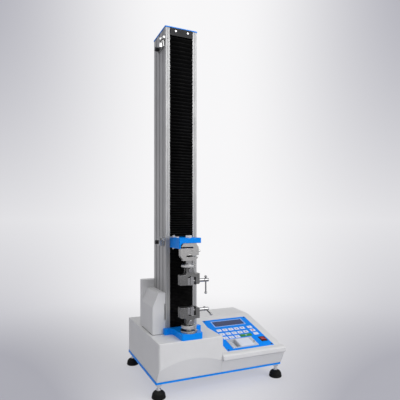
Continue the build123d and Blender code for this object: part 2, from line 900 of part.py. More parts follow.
def tongue_solid(pin_z, root_z):
    # Flat tongue with a round end about the pin
    low, high = sorted((pin_z, root_z))
    body = box(axis_x - tongue_half_w, axis_x + tongue_half_w, load_y - tongue_t / 2, load_y + tongue_t / 2, low, high)
    return body + rod_y_axis(axis_x, load_y - tongue_t / 2, load_y + tongue_t / 2, pin_z, tongue_half_w)


def upper_adapter():
    pin_z = upper_grip_z + pin_height
    ring_low = upper_grip_z + grip_neck_top + swing_gap
    ring_high = ring_low + upper_ring_h
    neck = rod_z(axis_x, load_y, ring_low, cell_bottom, neck_r)
    collar = rod_z(axis_x, load_y, ring_high, ring_high + 5, neck_r + 4)
    collar = chamfer(collar.edges().group_by(Axis.Z)[-1], 3)
    body = neck + collar + tongue_solid(pin_z, ring_low)
    return body - rod_y_axis(axis_x, load_y - 20, load_y + 20, pin_z, pin_r + run_gap)


def lower_adapter():
    pin_z = lower_grip_z - pin_height
    ring_low = lower_ring_z()
    flange = rod_z(axis_x, load_y, mount_top, mount_top + flange_h, flange_r)
    flange = fillet(flange.edges().group_by(Axis.Z)[-1], 1.5)
    neck = rod_z(axis_x, load_y, mount_top + flange_h, ring_low + lower_ring_h, neck_r)
    body = flange + neck + tongue_solid(pin_z, ring_low + lower_ring_h)
    return body - rod_y_axis(axis_x, load_y - 20, load_y + 20, pin_z, pin_r + run_gap)


def lower_ring_z():
    return lower_grip_z - grip_neck_top - swing_gap - lower_ring_h


def lock_ring(z0, h):
    ring = rod_z(axis_x, load_y, z0, z0 + h, ring_r)
    ring = chamfer(ring.edges().filter_by(GeomType.CIRCLE), 0.8)
    for i in range(4):
        notch = Rot(0, 0, 90 * i + 20) * Pos(ring_r, 0, z0 + h / 2) * Box(5, 6, h)
        ring -= Pos(axis_x, load_y, 0) * notch
    return ring - rod_z(axis_x, load_y, z0, z0 + h, neck_r + run_gap)


def upper_lock_ring():
    return lock_ring(upper_grip_z + grip_neck_top + swing_gap, upper_ring_h)


def lower_lock_ring():
    return lock_ring(lower_ring_z(), lower_ring_h)


def clevis_pin(z):
    half = grip_depth / 2
    pin = rod_y_axis(axis_x, load_y - half - 3, load_y + half + 2, z, pin_r)
    head = rod_y_axis(axis_x, load_y - half - 5, load_y - half - fit_gap, z, pin_r + 2.5)
    head = fillet(head.edges().group_by(Axis.Y)[0], 1.4)
    return pin + head


def upper_pin():
    return clevis_pin(upper_grip_z + pin_height)


def lower_pin():
    return clevis_pin(lower_grip_z - pin_height)


# Grips, drawn with the clamp screw's axis at the origin and the neck upwards

def grip_frame():
    neck = grip_neck_half_w
    outline = [
        (-grip_left, -grip_low),
        (-grip_left, grip_high - 2),
        (-grip_left + 3, grip_high),
        (-neck - 5, grip_high),
        (-neck, grip_high + 6),
        (-neck, grip_neck_top),
        (neck, grip_neck_top),
        (neck, grip_high + 9),
        (neck + 6, grip_high + 3),
        (grip_right, grip_high + 3),
        (grip_right, -grip_low + 5),
        (grip_right - 3, -grip_low + 2),
        (wall_x + 2, -grip_low + 2),
        (wall_x, -grip_low),
    ]
    half = grip_depth / 2
    body = slab_y(outline, -half, half)
    left_face = fixed_face_x - insert_t
    body -= box(left_face, wall_x, -half, half, -grip_low, jaw_roof)
    body -= rod_y_axis(fixed_face_x + jaw_gap / 2, -half, half, jaw_roof, roof_relief_r)
    top_edges = [e for e in body.edges().filter_by(Axis.Y) if e.center().Z > grip_neck_top - 1]
    body = fillet(top_edges, 4.0)
    slot = tongue_t / 2 + fit_gap
    slot_z = pin_height - tongue_half_w - swing_gap
    body -= box(-neck, neck, -slot, slot, slot_z, grip_neck_top)
    body -= rod_y_axis(0, -half, half, pin_height, pin_r + run_gap)
    return body - rod_x_axis(wall_x, grip_right, 0, 0, clamp_r + run_gap)


def toothed_jaw(x_back, x_face, half_y, z0, z1):
    # A block whose face at x_face has V grooves along Y
    way = 1 if x_face > x_back else -1
    rows = int((z1 - z0) / tooth_pitch)
    margin = (z1 - z0 - rows * tooth_pitch) / 2
    points = [(x_back, z0), (x_face, z0)]
    for i in range(rows):
        z = z0 + margin + i * tooth_pitch
        points += [(x_face, z), (x_face - way * tooth_h, z + tooth_pitch / 2)]
    points += [(x_face, z1 - margin), (x_face, z1), (x_back, z1)]
    clean = [p for i, p in enumerate(points) if i == 0 or p != points[i - 1]]
    return slab_y(clean, -half_y, half_y)


def grip_fixed_jaw():
    x_back = fixed_face_x - insert_t
    return toothed_jaw(x_back, fixed_face_x, grip_depth / 2, -grip_low, jaw_roof - roof_relief_r)


def grip_moving_jaw():
    jaw = toothed_jaw(jaw_back_x, jaw_face_x, jaw_depth / 2, -grip_low - 0.5, jaw_roof - fit_gap)
    return jaw - rod_x_axis(jaw_back_x - clamp_tip_len, jaw_back_x, 0, 0, clamp_tip_r + run_gap)


def grip_screw():
    tip = rod_x_axis(jaw_back_x - clamp_tip_len + fit_gap, jaw_back_x + run_gap, 0, 0, clamp_tip_r)
    shaft = rod_x_axis(jaw_back_x + run_gap, hub_x, 0, 0, clamp_r)
    hub = rod_x_axis(hub_x, hub_x + hub_len, 0, 0, hub_r)
    hub = fillet(hub.edges().group_by(Axis.X)[-1], 3)
    hub = chamfer(hub.edges().group_by(Axis.X)[0], 1)
    hole = rod_z(hub_x + bar_at, 0, -hub_r, hub_r, tbar_r + run_gap)
    return tip + shaft + hub - hole


def tbar_shift():
    return tbar_len / 2 - 2 * ball_r - hub_r - fit_gap


def grip_tbar():
    # The bar hangs down to its stop
    x = hub_x + bar_at
    half = tbar_len / 2
    mid = -tbar_shift()
    bar = rod_z(x, 0, mid - half + ball_r, mid + half - ball_r, tbar_r)
    for end in (mid - half + ball_r, mid + half - ball_r):
        bar += Pos(x, 0, end) * Sphere(ball_r)
    return bar


def at_upper(shape):
    return Pos(axis_x, load_y, upper_grip_z) * shape


def at_lower(shape):
    return Pos(axis_x, load_y, lower_grip_z) * mirror(shape, about=Plane.XY)


def at_lower_screw(shape):
    # The lower screw stands turned, so that its bar points forward and a little down
    turned = Rot(lower_tbar_dip - 90, 0, 0) * shape
    return Pos(axis_x, load_y, lower_grip_z) * turned


# Limit stops

def stop_block(z):
    x1 = mid_x - column_w / 2 - fit_gap
    y0 = column_front + stop_front
    block = box(x1 - stop_t, x1, y0, y0 + stop_len, z - stop_h / 2, z + stop_h / 2)
    block = fillet(block.edges().filter_by(Axis.X), 3)
    sensor_x = x1 - sensor_out
    sensor_z = z + sensor_rise
    carrier = box(sensor_x - 7, x1, y0 + 6, y0 + 12, z - stop_h / 2, sensor_z + 7)
    barrel_y0 = column_front - strip_front + 6 + strip_w + sensor_gap
    barrel = rod_y_axis(sensor_x, barrel_y0, barrel_y0 + sensor_len, sensor_z, sensor_r)
    stop = block + carrier + barrel
    for y in (y0 + 2, y0 + 12):
        nut = Plane.XZ.offset(-y - 4) * Pos(sensor_x, sensor_z) * RegularPolygon(6.5, 6, major_radius=False)
        stop += extrude(nut, 4)
    side = mid_x - column_w / 2
    key = slot_mouth / 2 - fit_gap
    foot_half = slot_inner / 2 - fit_gap
    lip = slot_lip + fit_gap
    stop += box(x1 - 1, side + lip, knob_y() - key, knob_y() + key, z - stop_h / 2, z + stop_h / 2)
    stop += box(side + lip, side + slot_depth - fit_gap, knob_y() - foot_half, knob_y() + foot_half,
                z - stop_h / 2, z + stop_h / 2)
    return stop - rod_x_axis(x1 - stop_t - 1, side + slot_depth, knob_y(), z, knob_shank_r + run_gap)


def knob_y():
    return column_front + slot_first + slot_pitch


def stop_knob(z):
    x1 = mid_x - column_w / 2 - fit_gap
    x0 = x1 - stop_t - fit_gap
    knob = rod_x_axis(x0 - knob_len, x0, knob_y(), z, knob_r)
    for i in range(8):
        flute = Rot(45 * i, 0, 0) * Pos(0, knob_r + 0.6, 0) * Rot(0, 90, 0) * Cylinder(1.4, knob_len * 3)
        knob -= Pos(x0, knob_y(), z) * flute
    return knob + rod_x_axis(x0, x1 + slot_depth - 1, knob_y(), z, knob_shank_r)


# Control panel

def panel_place(u, v, w=0.0):
    # A point on the slope: u to the right and v up the slope from the film's corner, w off the surface
    tilt = radians(console_slope)
    y0 = base_front_y - film_front
    z0 = base_top - (console_break_y - y0) * tan(tilt)
    y = y0 + v * cos(tilt) - w * sin(tilt)
    z = z0 + v * sin(tilt) + w * cos(tilt)
    return Pos(left + film_x + u, y, z) * Rot(console_slope, 0, 0)


def flat_box(w, l, h):
    return Pos(0, 0, h / 2) * Box(w, l, h)


def key_places():
    places = []
    for row, v in enumerate(key_row_v):
        count = 5 if row < 2 else 3
        places += [(key_first_u + key_pitch_u * i, v, key_w) for i in range(count)]
    green_u = key_first_u + key_pitch_u * 3.5
    places.append((green_u, key_row_v[2] + 2, green_w))
    places += [(side_key_u, v, key_w) for v in side_key_v]
    return places


def panel_overlay():
    film = panel_place(film_w / 2, film_len / 2) * flat_box(film_w, film_len, film_t)
    for u, v, w in key_places():
        film += panel_place(u, v, film_t) * flat_box(w, key_l, key_t)
    film -= panel_place(printer_u, printer_v, -1) * flat_box(printer_w - 4, printer_l - 4, 5)
    film -= panel_place(display_u, display_v, -1) * flat_box(display_w - 3, display_l - 3, 5)
    film -= panel_place(rocker_u, rocker_v, -1) * flat_box(rocker_w - 3, rocker_l - 3, 5)
    for u, v in panel_screw_places():
        film -= panel_place(u, v, -1) * Pos(0, 0, 2) * Cylinder(1.6, 8)
    return film


def panel_screw_places():
    us = (film_corner, film_w - film_corner)
    vs = (film_corner, film_len - film_corner)
    return [(u, v) for u in us for v in vs]


def panel_screws():
    screw = button_screw(0, 0, 0, panel_screw_r, 1.8, 1.5, film_t)
    return group([panel_place(u, v, film_t) * screw for u, v in panel_screw_places()])


def display():
    glass = Pos(0, 0, film_t - 0.2) * flat_box(display_w - 4, display_l - 4, 0.01 + 0.19)
    module = Pos(0, 0, -display_t) * flat_box(display_w - 4.6, display_l - 4.6, display_t + film_t - 0.2)
    return panel_place(display_u, display_v) * (glass + module)


def printer_inner():
    # Width and length of the space inside the printer's tub
    return printer_w - 5 - 2 * printer_wall, printer_l - 5 - 2 * printer_wall


def printer_top():
    return film_t + printer_rim


def roll_place():
    # Across and up from the printer's middle
    return door_u0 + door_w / 2, printer_top() - door_t - roll_r - 2


def door_hinge_place():
    return door_u0 + door_w - door_hinge_in, printer_top() - door_t / 2


def printer_housing():
    inner_w, inner_l = printer_inner()
    top = printer_top()
    rim = Pos(0, 0, film_t) * flat_box(printer_w, printer_l, printer_rim)
    rim = fillet(rim.edges().group_by(Axis.Z)[-1], 1.2)
    body = rim + Pos(0, 0, -printer_deep) * flat_box(printer_w - 5, printer_l - 5, printer_deep + film_t)
    bay_u0 = door_u0 + 2
    bay_u1 = door_u0 + door_w + door_gap
    bay = Pos((bay_u0 + bay_u1) / 2, 0, -printer_deep + printer_wall)
    body -= bay * flat_box(bay_u1 - bay_u0, inner_l, printer_deep + 10)
    seat = Pos((door_u0 - door_gap + bay_u1) / 2, 0, top - door_t)
    body -= seat * flat_box(bay_u1 - door_u0 + door_gap, inner_l, 10)
    recess = [
        (-inner_w / 2, top + 1),
        (door_u0 - 4, top + 1),
        (door_u0 - 4, -9),
        (door_u0 - 9, -9),
        (-inner_w / 2, -1),
    ]
    body -= slab_y(recess, -inner_l / 2, inner_l / 2)
    body -= Pos(door_u0 - 6.5, 0, -20) * flat_box(2.0, roll_w + 2, 12)
    hinge_u, hinge_w = door_hinge_place()
    reach = inner_l / 2 + 1.2
    body -= rod_y_axis(hinge_u, -reach, reach, hinge_w, door_pin_r + run_gap)
    roll_u, roll_h = roll_place()
    for y0, y1 in ((-inner_l / 2, -roll_w / 2 - 0.5), (roll_w / 2 + 0.5, inner_l / 2)):
        body += rod_y_axis(roll_u, y0, y1, roll_h, roll_core_r - 1)
    axle = rod_y_axis(roll_u, -inner_l / 2, inner_l / 2, roll_h, roll_core_r - run_gap)
    body += axle
    body -= Pos(button_u, button_v, top - button_deep) * Cylinder(button_r + 0.3, 2 * button_deep)
    body += Pos(button_u, lamp_v, top) * Sphere(lamp_r)
    return panel_place(printer_u, printer_v) * body


def printer_button():
    top = printer_top()
    button = Pos(0, 0, top + button_out - button_deep / 2) * Cylinder(button_r, button_deep)
    button = fillet(button.edges().sort_by(Axis.Z)[-1], 0.6)
    return panel_place(printer_u, printer_v) * Pos(button_u, button_v, 0) * button


def paper_roll():
    roll_u, roll_h = roll_place()
    roll = Rot(90, 0, 0) * (Cylinder(roll_r, roll_w) - Cylinder(roll_core_r, roll_w))
    return panel_place(printer_u, printer_v) * Pos(roll_u, 0, roll_h) * roll


def printer_door():
    inner_l = printer_inner()[1]
    top = printer_top()
    half_l = inner_l / 2 - door_gap
    door = Pos(door_u0 + door_w / 2, 0, top - door_t) * flat_box(door_w, 2 * half_l, door_t)
    door = fillet(door.edges().filter_by(Axis.Y).sort_by(Axis.X)[-2:], door_t * 0.45)
    notch = Pos(door_u0 + 5, 0, top + 3.2) * Rot(90, 0, 0) * Cylinder(4.4, 16)
    hinge_u, hinge_w = door_hinge_place()
    reach = inner_l / 2 + 1.0
    pins = rod_y_axis(hinge_u, -reach, reach, hinge_w, door_pin_r)
    return panel_place(printer_u, printer_v) * (door - notch + pins)


def rocker_frame():
    rim = Pos(0, 0, film_t) * flat_box(rocker_w, rocker_l, rocker_rim)
    rim = fillet(rim.edges().group_by(Axis.Z)[-1], 1.2)
    tub = Pos(0, 0, -rocker_deep) * flat_box(rocker_w - 4, rocker_l - 4, rocker_deep + film_t)
    body = rim + tub
    well = Pos(0, 0, -10) * flat_box(rocker_w - 8, rocker_l - 8, 20)
    return panel_place(rocker_u, rocker_v) * (body - well)


def rocker():
    # Two shallow faces that meet at the middle, tilted to the off side
    half_l = rocker_l / 2 - 5.6
    half_w = rocker_w / 2 - 4.3
    top = film_t + rocker_rim
    outline = [
        (-half_l, top + 1.2),
        (0, top - 0.6),
        (half_l, top + 1.2),
        (half_l - 1.5, top - 4.5),
        (3.5, top - 9.0),
        (-3.5, top - 9.0),
        (-half_l + 1.5, top - 4.5),
    ]
    body = slab_x(outline, -half_w, half_w)
    pivot = Pos(0, 0, top - 5.5) * Rot(0, 90, 0) * Cylinder(1.5, 2 * half_w)
    body += pivot
    turned = Pos(0, 0, top - 5.5) * Rot(-rocker_tilt, 0, 0) * Pos(0, 0, -top + 5.5) * body
    return panel_place(rocker_u, rocker_v) * turned


# Inside the base

def control_board():
    x_mid = (block_right + right) / 2
    y_mid = base_front_y + board_from_front
    z0 = plate_top
    board = box(x_mid - board_w / 2, x_mid + board_w / 2, y_mid - board_l / 2, y_mid + board_l / 2,
                z0 + board_h, z0 + board_h + board_t)
    for sx in (-1, 1):
        for sy in (-1, 1):
            board += rod_z(x_mid + sx * (board_w / 2 - 6), y_mid + sy * (board_l / 2 - 6), z0, z0 + board_h, 3)
    top = z0 + board_h + board_t
    board += box(x_mid - 16, x_mid + 16, y_mid - 16, y_mid + 16, top, top + 3)
    board += box(x_mid + 34, x_mid + 62, y_mid - 30, y_mid - 14, top, top + 12)
    board += box(x_mid - 64, x_mid - 50, y_mid - 34, y_mid + 34, top, top + 9)
    return board


def power_supply():
    x_mid = right - supply_from_right
    y_mid = base_rear_y - supply_from_rear
    body = box(x_mid - supply_w / 2, x_mid + supply_w / 2, y_mid - supply_l / 2, y_mid + supply_l / 2,
               plate_top, plate_top + supply_h)
    for i in range(vent_count):
        x = x_mid - supply_w / 2 + supply_w * (i + 0.85) / (vent_count + 1)
        body -= box(x, x + 5, y_mid - supply_l / 2 + 12, y_mid + supply_l / 2 - 12,
                    plate_top + supply_h - 2, plate_top + supply_h)
    return body


def inlet_place():
    return Pos(right - inlet_from_right, cover_rear, plate_top + inlet_up)


def inlet_hole():
    return inlet_place() * Box(inlet_w - 16, 20, inlet_h - 4)


def power_inlet():
    flange = Pos(0, 1.25, 0) * Box(inlet_w, 2.5, inlet_h)
    flange = fillet(flange.edges().filter_by(Axis.Y), 4)
    tub = Pos(0, -inlet_deep / 2, 0) * Box(inlet_w - 16.6, inlet_deep, inlet_h - 4.6)
    well = Pos(0, -inlet_deep / 2 + 4, 0) * Box(inlet_w - 22, inlet_deep, inlet_h - 10)
    body = flange + tub - well
    for x in (-7, 0, 7):
        body += Pos(x, -inlet_deep / 2, 2 if x else -2) * Box(2, inlet_deep - 6, 4)
    return inlet_place() * body


parts = {
    "base_plate": base_plate,
    "base_cover": base_cover,
    "pedestal": pedestal,
    "mounting_plate": mounting_plate,
    "column": column,
    "column_cap": column_cap,
    "column_screws": column_screws,
    "bellows_top_bracket": bellows_top_bracket,
    "bellows_upper": bellows_upper,
    "bellows_lower": bellows_lower,
    "rear_housing": rear_housing,
    "guide_rods": guide_rods,
    "bearing_blocks": bearing_blocks,
    "screw_bearings": screw_bearings,
    "ball_screw": ball_screw,
    "screw_pulley": screw_pulley,
    "motor_pulley": motor_pulley,
    "timing_belt": timing_belt,
    "drive_motor": drive_motor,
    "carriage": carriage,
    "linear_bushings": linear_bushings,
    "ball_nut": ball_nut,
    "crosshead_arm": crosshead_arm,
    "arm_bolts": arm_bolts,
    "trip_strip": trip_strip,
    "load_cell": load_cell,
    "upper_adapter": upper_adapter,
    "upper_lock_ring": upper_lock_ring,
    "upper_pin": upper_pin,
    "lower_adapter": lower_adapter,
    "lower_lock_ring": lower_lock_ring,
    "lower_pin": lower_pin,
    "foot_pads": foot_pads,
    "foot_studs": foot_studs,
    "panel_overlay": panel_overlay,
    "panel_screws": panel_screws,
    "display": display,
    "printer_housing": printer_housing,
    "printer_button": printer_button,
    "printer_door": printer_door,
    "paper_roll": paper_roll,
    "rocker_frame": rocker_frame,
    "rocker": rocker,
    "control_board": control_board,
    "power_supply": power_supply,
    "power_inlet": power_inlet,
}

for name, make in parts.items():
    save(name, make())

save("upper_grip_frame", at_upper(grip_frame()))
save("upper_fixed_jaw", at_upper(grip_fixed_jaw()))
save("upper_moving_jaw", at_upper(grip_moving_jaw()))
save("upper_grip_screw", at_upper(grip_screw()))
save("upper_tbar", at_upper(grip_tbar()))
save("lower_grip_frame", at_lower(grip_frame()))
save("lower_fixed_jaw", at_lower(grip_fixed_jaw()))
save("lower_moving_jaw", at_lower(grip_moving_jaw()))
save("lower_grip_screw", at_lower_screw(grip_screw()))
save("lower_tbar", at_lower_screw(grip_tbar()))

save("upper_limit_stop", stop_block(upper_stop_z))
save("upper_stop_knob", stop_knob(upper_stop_z))
save("lower_limit_stop", stop_block(lower_stop_z))
save("lower_stop_knob", stop_knob(lower_stop_z))
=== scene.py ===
import json
import math

import bmesh
import bpy
from mathutils import Matrix, Vector


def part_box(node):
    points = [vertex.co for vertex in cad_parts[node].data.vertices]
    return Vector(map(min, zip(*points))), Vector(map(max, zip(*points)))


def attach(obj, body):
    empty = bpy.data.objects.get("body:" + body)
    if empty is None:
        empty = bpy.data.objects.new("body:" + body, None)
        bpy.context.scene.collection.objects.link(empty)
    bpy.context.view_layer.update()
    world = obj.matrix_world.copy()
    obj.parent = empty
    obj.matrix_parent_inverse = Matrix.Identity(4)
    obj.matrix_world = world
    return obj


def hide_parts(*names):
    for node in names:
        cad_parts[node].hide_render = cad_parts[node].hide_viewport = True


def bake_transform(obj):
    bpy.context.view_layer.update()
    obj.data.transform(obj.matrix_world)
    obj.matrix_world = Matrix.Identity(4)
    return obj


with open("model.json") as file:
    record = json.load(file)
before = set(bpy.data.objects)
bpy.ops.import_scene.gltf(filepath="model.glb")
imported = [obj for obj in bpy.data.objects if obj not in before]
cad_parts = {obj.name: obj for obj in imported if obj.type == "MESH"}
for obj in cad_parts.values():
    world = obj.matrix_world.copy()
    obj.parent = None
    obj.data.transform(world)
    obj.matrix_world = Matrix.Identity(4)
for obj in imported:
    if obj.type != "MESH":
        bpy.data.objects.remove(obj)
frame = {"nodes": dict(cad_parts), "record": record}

bl_info = {
    "name": "Column testing machine looks",
    "version": (1, 0, 0),
    "blender": (4, 5, 0),
    "location": "View3D > Sidebar > Testing machine",
    "description": "Finishes and fine parts for a single-column testing machine",
    "category": "Object",
}

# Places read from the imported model, in metres
bellows_up_low, bellows_up_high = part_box("bellows_upper")
bellows_low_low, bellows_low_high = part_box("bellows_lower")

# The sloped console, in metres. The film starts at its own front left corner.
BASE_LEFT = -0.235
BASE_TOP = 0.1825
FILM_FROM_LEFT = 0.2535
FILM_FORWARD = 0.162
BREAK_BACK = 0.077
SLOPE = math.radians(14.3)
FILM_X = BASE_LEFT + FILM_FROM_LEFT
FILM_Y = -FILM_FORWARD
FILM_Z = BASE_TOP - (BREAK_BACK + FILM_FORWARD) * math.tan(SLOPE)

# Printed panel pieces: places and lifts off the slope in millimetres, sizes in metres
DISPLAY_U, DISPLAY_V = 94.0, 182.0
BORDER_WIDTH, BORDER_LENGTH = 0.133, 0.044
BORDER_INSET = 0.0042
BORDER_THICK = 0.0002
BORDER_LIFT = 0.9
KEY_FIRST, KEY_STEP = 31.5, 24.5
KEY_WIDTH = 19.5
KEY_LENGTH = 0.017
KEY_HEIGHT = 0.0003
PAD_EDGE = 0.0003
KEY_LIFT = 1.4
MARK_LIFT = 1.74
SIDE_KEY_U = 161.5
ARROW_TURNS = {"up": 0, "left": 90, "down": 180, "right": 270}
ARROW_RADIUS = 0.0045
STOP_RADIUS = 0.0040
DOT_RADIUS = 0.0014
LETTER_SIZE = 0.0105
LETTER_DEPTH = 0.00004
START_WIDTH = 0.049
START_PLACE = 3.5
START_SHIFT = 2

# Bellows
UPPER_GROWTH = 2.0
EVEN_GROWTH = 1.0
FOLD_ROUND = 0.0006
CLOTH_THICK = 0.0007

# The console's lip at its left end, as outlines across the depth and up, in metres
LIP_OUTLINE = ((-0.1818, 0.1010), (-0.1895, 0.1055), (-0.1895, 0.1150), (-0.1852, 0.1180), (-0.1818, 0.1181))
LIP_FROM, LIP_TO = -0.01195, -0.0102
WALL_OUTLINE = ((-0.1806, 0.0978), (-0.18296, 0.0984), (-0.18296, 0.1188), (-0.1806, 0.1188))
WALL_FROM, WALL_TO = -0.0145, -0.0117

# Painted shadow: dark strips under the side housing stand in for the shade in the gap there; low and high
# corner of each strip, in metres
SHADOW_STRIP_FRONT = ((-0.2215, -0.0826, 0.1822), (-0.1768, -0.0818, 0.1835))
SHADOW_STRIP_SIDE = ((-0.2221, -0.0818, 0.1822), (-0.2211, 0.0460, 0.1835))

# Camera and stage
CAMERA_PLACE = (-0.6155, -1.3636, 0.5657)
CAMERA_TURN = -23.84
CAMERA_SHIFT = 0.0505
VIEW_X, VIEW_Y = 0.4042, 0.9147
BACKDROP_PALE = (0.935, 0.930, 0.940)
BACKDROP_GREY = (0.45, 0.45, 0.50)
WORLD_COLOUR = (0.98, 0.98, 1.0, 1.0)
WORLD_STRENGTH = 0.36
FLOOR_RADIUS = 40.0
LAMPS = (
    ("key_lamp", (1.3, -2.6, 2.1), (0, 0, 0.5), (2.2, 2.2), 66),
    ("left_lamp", (-2.6, -1.0, 1.6), (0, 0, 0.6), (1.6, 2.2), 9),
    ("top_lamp", (-0.2, -0.2, 3.2), (0, 0, 0), (2.6, 2.6), 16),
)

# Shared by the finishes
DUST_COLOUR = (0.62, 0.60, 0.56)
PAINT_BUMP = 0.0004
METAL_BUMP = 0.0002


def panel_matrix(u, v, w=0.0):
    """A place on the sloped console: u across, v up the slope, w off it, in millimetres."""
    y = FILM_Y + (v * math.cos(SLOPE) - w * math.sin(SLOPE)) / 1000
    z = FILM_Z + (v * math.sin(SLOPE) + w * math.cos(SLOPE)) / 1000
    return Matrix.Translation((FILM_X + u / 1000, y, z)) @ Matrix.Rotation(SLOPE, 4, "X")


# Node tree helpers

def add(tree, kind, **values):
    """A new node whose properties or input values are set by name."""
    node = tree.nodes.new(kind)
    for key, value in values.items():
        if hasattr(node, key):
            setattr(node, key, value)
        else:
            node.inputs[key.replace("_", " ")].default_value = value
    return node


def join(tree, source, out, target, into):
    """A link from one node's output to another node's input."""
    tree.links.new(source.outputs[out], target.inputs[into])


def math_node(tree, operation, a, b=None, clamp=False):
    """One step of arithmetic on values or sockets."""
    node = tree.nodes.new("ShaderNodeMath")
    node.operation = operation
    node.use_clamp = clamp
    for index, value in enumerate((a, b)):
        if value is None:
            continue
        if isinstance(value, (int, float)):
            node.inputs[index].default_value = value
        else:
            tree.links.new(value, node.inputs[index])
    return node.outputs[0]


def remap(tree, value, low, high, to_low=0.0, to_high=1.0, smooth=True):
    """A value from one range laid over another."""
    node = tree.nodes.new("ShaderNodeMapRange")
    node.interpolation_type = "SMOOTHSTEP" if smooth else "LINEAR"
    tree.links.new(value, node.inputs["Value"])
    node.inputs["From Min"].default_value = low
    node.inputs["From Max"].default_value = high
    node.inputs["To Min"].default_value = to_low
    node.inputs["To Max"].default_value = to_high
    return node.outputs["Result"]


def blend_colour(tree, factor, first, second):
    """Two colours mixed by a factor, each a value or a socket."""
    node = tree.nodes.new("ShaderNodeMix")
    node.data_type = "RGBA"
    for socket, value in (("Factor", factor), ("A", first), ("B", second)):
        target = [s for s in node.inputs if s.name == socket and s.type in ("RGBA", "VALUE")]
        target = [s for s in target if (s.type == "VALUE") == (socket == "Factor")][0]
        if isinstance(value, (int, float)):
            target.default_value = value
        elif isinstance(value, (tuple, list)):
            target.default_value = value if len(value) == 4 else (*value, 1.0)
        else:
            tree.links.new(value, target)
    return [s for s in node.outputs if s.type == "RGBA"][0]


def new_group(name, inputs, outputs):
    """An empty shader group with its inputs and outputs."""
    group = bpy.data.node_groups.new(name, "ShaderNodeTree")
    for label, kind, default in inputs:
        socket = group.interface.new_socket(name=label, in_out="INPUT", socket_type=kind)
        if default is not None:
            socket.default_value = default
    for label, kind in outputs:
        group.interface.new_socket(name=label, in_out="OUTPUT", socket_type=kind)
    start = group.nodes.new("NodeGroupInput")
    end = group.nodes.new("NodeGroupOutput")
    return group, start, end


def group_edge_wear():
    """Rounded edges in the shading and a mask where paint or plating is worn."""
    group, start, end = new_group(
        "Edge wear",
        [("Radius", "NodeSocketFloat", 0.0006), ("Break Up", "NodeSocketFloat", 400.0)],
        [("Mask", "NodeSocketFloat"), ("Normal", "NodeSocketVector")],
    )
    bevel = add(group, "ShaderNodeBevel", samples=4)
    join(group, start, "Radius", bevel, "Radius")
    geometry = add(group, "ShaderNodeNewGeometry")
    dot = add(group, "ShaderNodeVectorMath", operation="DOT_PRODUCT")
    join(group, bevel, "Normal", dot, 0)
    join(group, geometry, "Normal", dot, 1)
    edge = remap(group, dot.outputs["Value"], 0.995, 0.90)
    coords = add(group, "ShaderNodeTexCoord")
    noise = add(group, "ShaderNodeTexNoise", Detail=3.0)
    join(group, coords, "Object", noise, "Vector")
    join(group, start, "Break Up", noise, "Scale")
    spots = remap(group, noise.outputs["Fac"], 0.42, 0.62)
    mask = math_node(group, "MULTIPLY", edge, spots)
    group.links.new(mask, end.inputs["Mask"])
    group.links.new(bevel.outputs["Normal"], end.inputs["Normal"])
    return group


def group_grain():
    """Fine grain for paint and moulded plastic, with a slow drift in tone."""
    group, start, end = new_group(
        "Grain",
        [("Scale", "NodeSocketFloat", 1500.0), ("Drift", "NodeSocketFloat", 9.0)],
        [("Height", "NodeSocketFloat"), ("Tone", "NodeSocketFloat")],
    )
    coords = add(group, "ShaderNodeTexCoord")
    fine = add(group, "ShaderNodeTexNoise", Detail=2.0, Roughness=0.55)
    join(group, coords, "Object", fine, "Vector")
    join(group, start, "Scale", fine, "Scale")
    slow = add(group, "ShaderNodeTexNoise", Detail=4.0, Roughness=0.6)
    join(group, coords, "Object", slow, "Vector")
    join(group, start, "Drift", slow, "Scale")
    group.links.new(fine.outputs["Fac"], end.inputs["Height"])
    tone = remap(group, slow.outputs["Fac"], 0.3, 0.7)
    group.links.new(tone, end.inputs["Tone"])
    return group


def group_brushed():
    """Long fine scratches along one axis, set by the stretch."""
    group, start, end = new_group(
        "Brushed",
        [("Stretch", "NodeSocketVector", (1800.0, 1800.0, 8.0))],
        [("Height", "NodeSocketFloat"), ("Tone", "NodeSocketFloat")],
    )
    coords = add(group, "ShaderNodeTexCoord")
    scaled = add(group, "ShaderNodeVectorMath", operation="MULTIPLY")
    join(group, coords, "Object", scaled, 0)
    join(group, start, "Stretch", scaled, 1)
    streak = add(group, "ShaderNodeTexNoise", Scale=1.0, Detail=5.0, Roughness=0.7)
    join(group, scaled, "Vector", streak, "Vector")
    cloud = add(group, "ShaderNodeTexNoise", Scale=14.0, Detail=3.0)
    join(group, coords, "Object", cloud, "Vector")
    both = math_node(group, "ADD", math_node(group, "MULTIPLY", streak.outputs["Fac"], 0.7),
                     math_node(group, "MULTIPLY", cloud.outputs["Fac"], 0.3))
    group.links.new(streak.outputs["Fac"], end.inputs["Height"])
    group.links.new(remap(group, both, 0.35, 0.65), end.inputs["Tone"])
    return group


def group_dust():
    """Settled dust: upward faces, broken up by noise."""
    group, start, end = new_group(
        "Dust",
        [("Amount", "NodeSocketFloat", 0.1)],
        [("Mask", "NodeSocketFloat")],
    )
    geometry = add(group, "ShaderNodeNewGeometry")
    parts = add(group, "ShaderNodeSeparateXYZ")
    join(group, geometry, "Normal", parts, "Vector")
    up = remap(group, parts.outputs["Z"], 0.3, 1.0)
    coords = add(group, "ShaderNodeTexCoord")
    noise = add(group, "ShaderNodeTexNoise", Scale=38.0, Detail=6.0, Roughness=0.7)
    join(group, coords, "Object", noise, "Vector")
    patches = remap(group, noise.outputs["Fac"], 0.35, 0.75)
    mask = math_node(group, "MULTIPLY", math_node(group, "MULTIPLY", up, patches), start.outputs["Amount"])
    group.links.new(mask, end.inputs["Mask"])
    return group


groups = {}


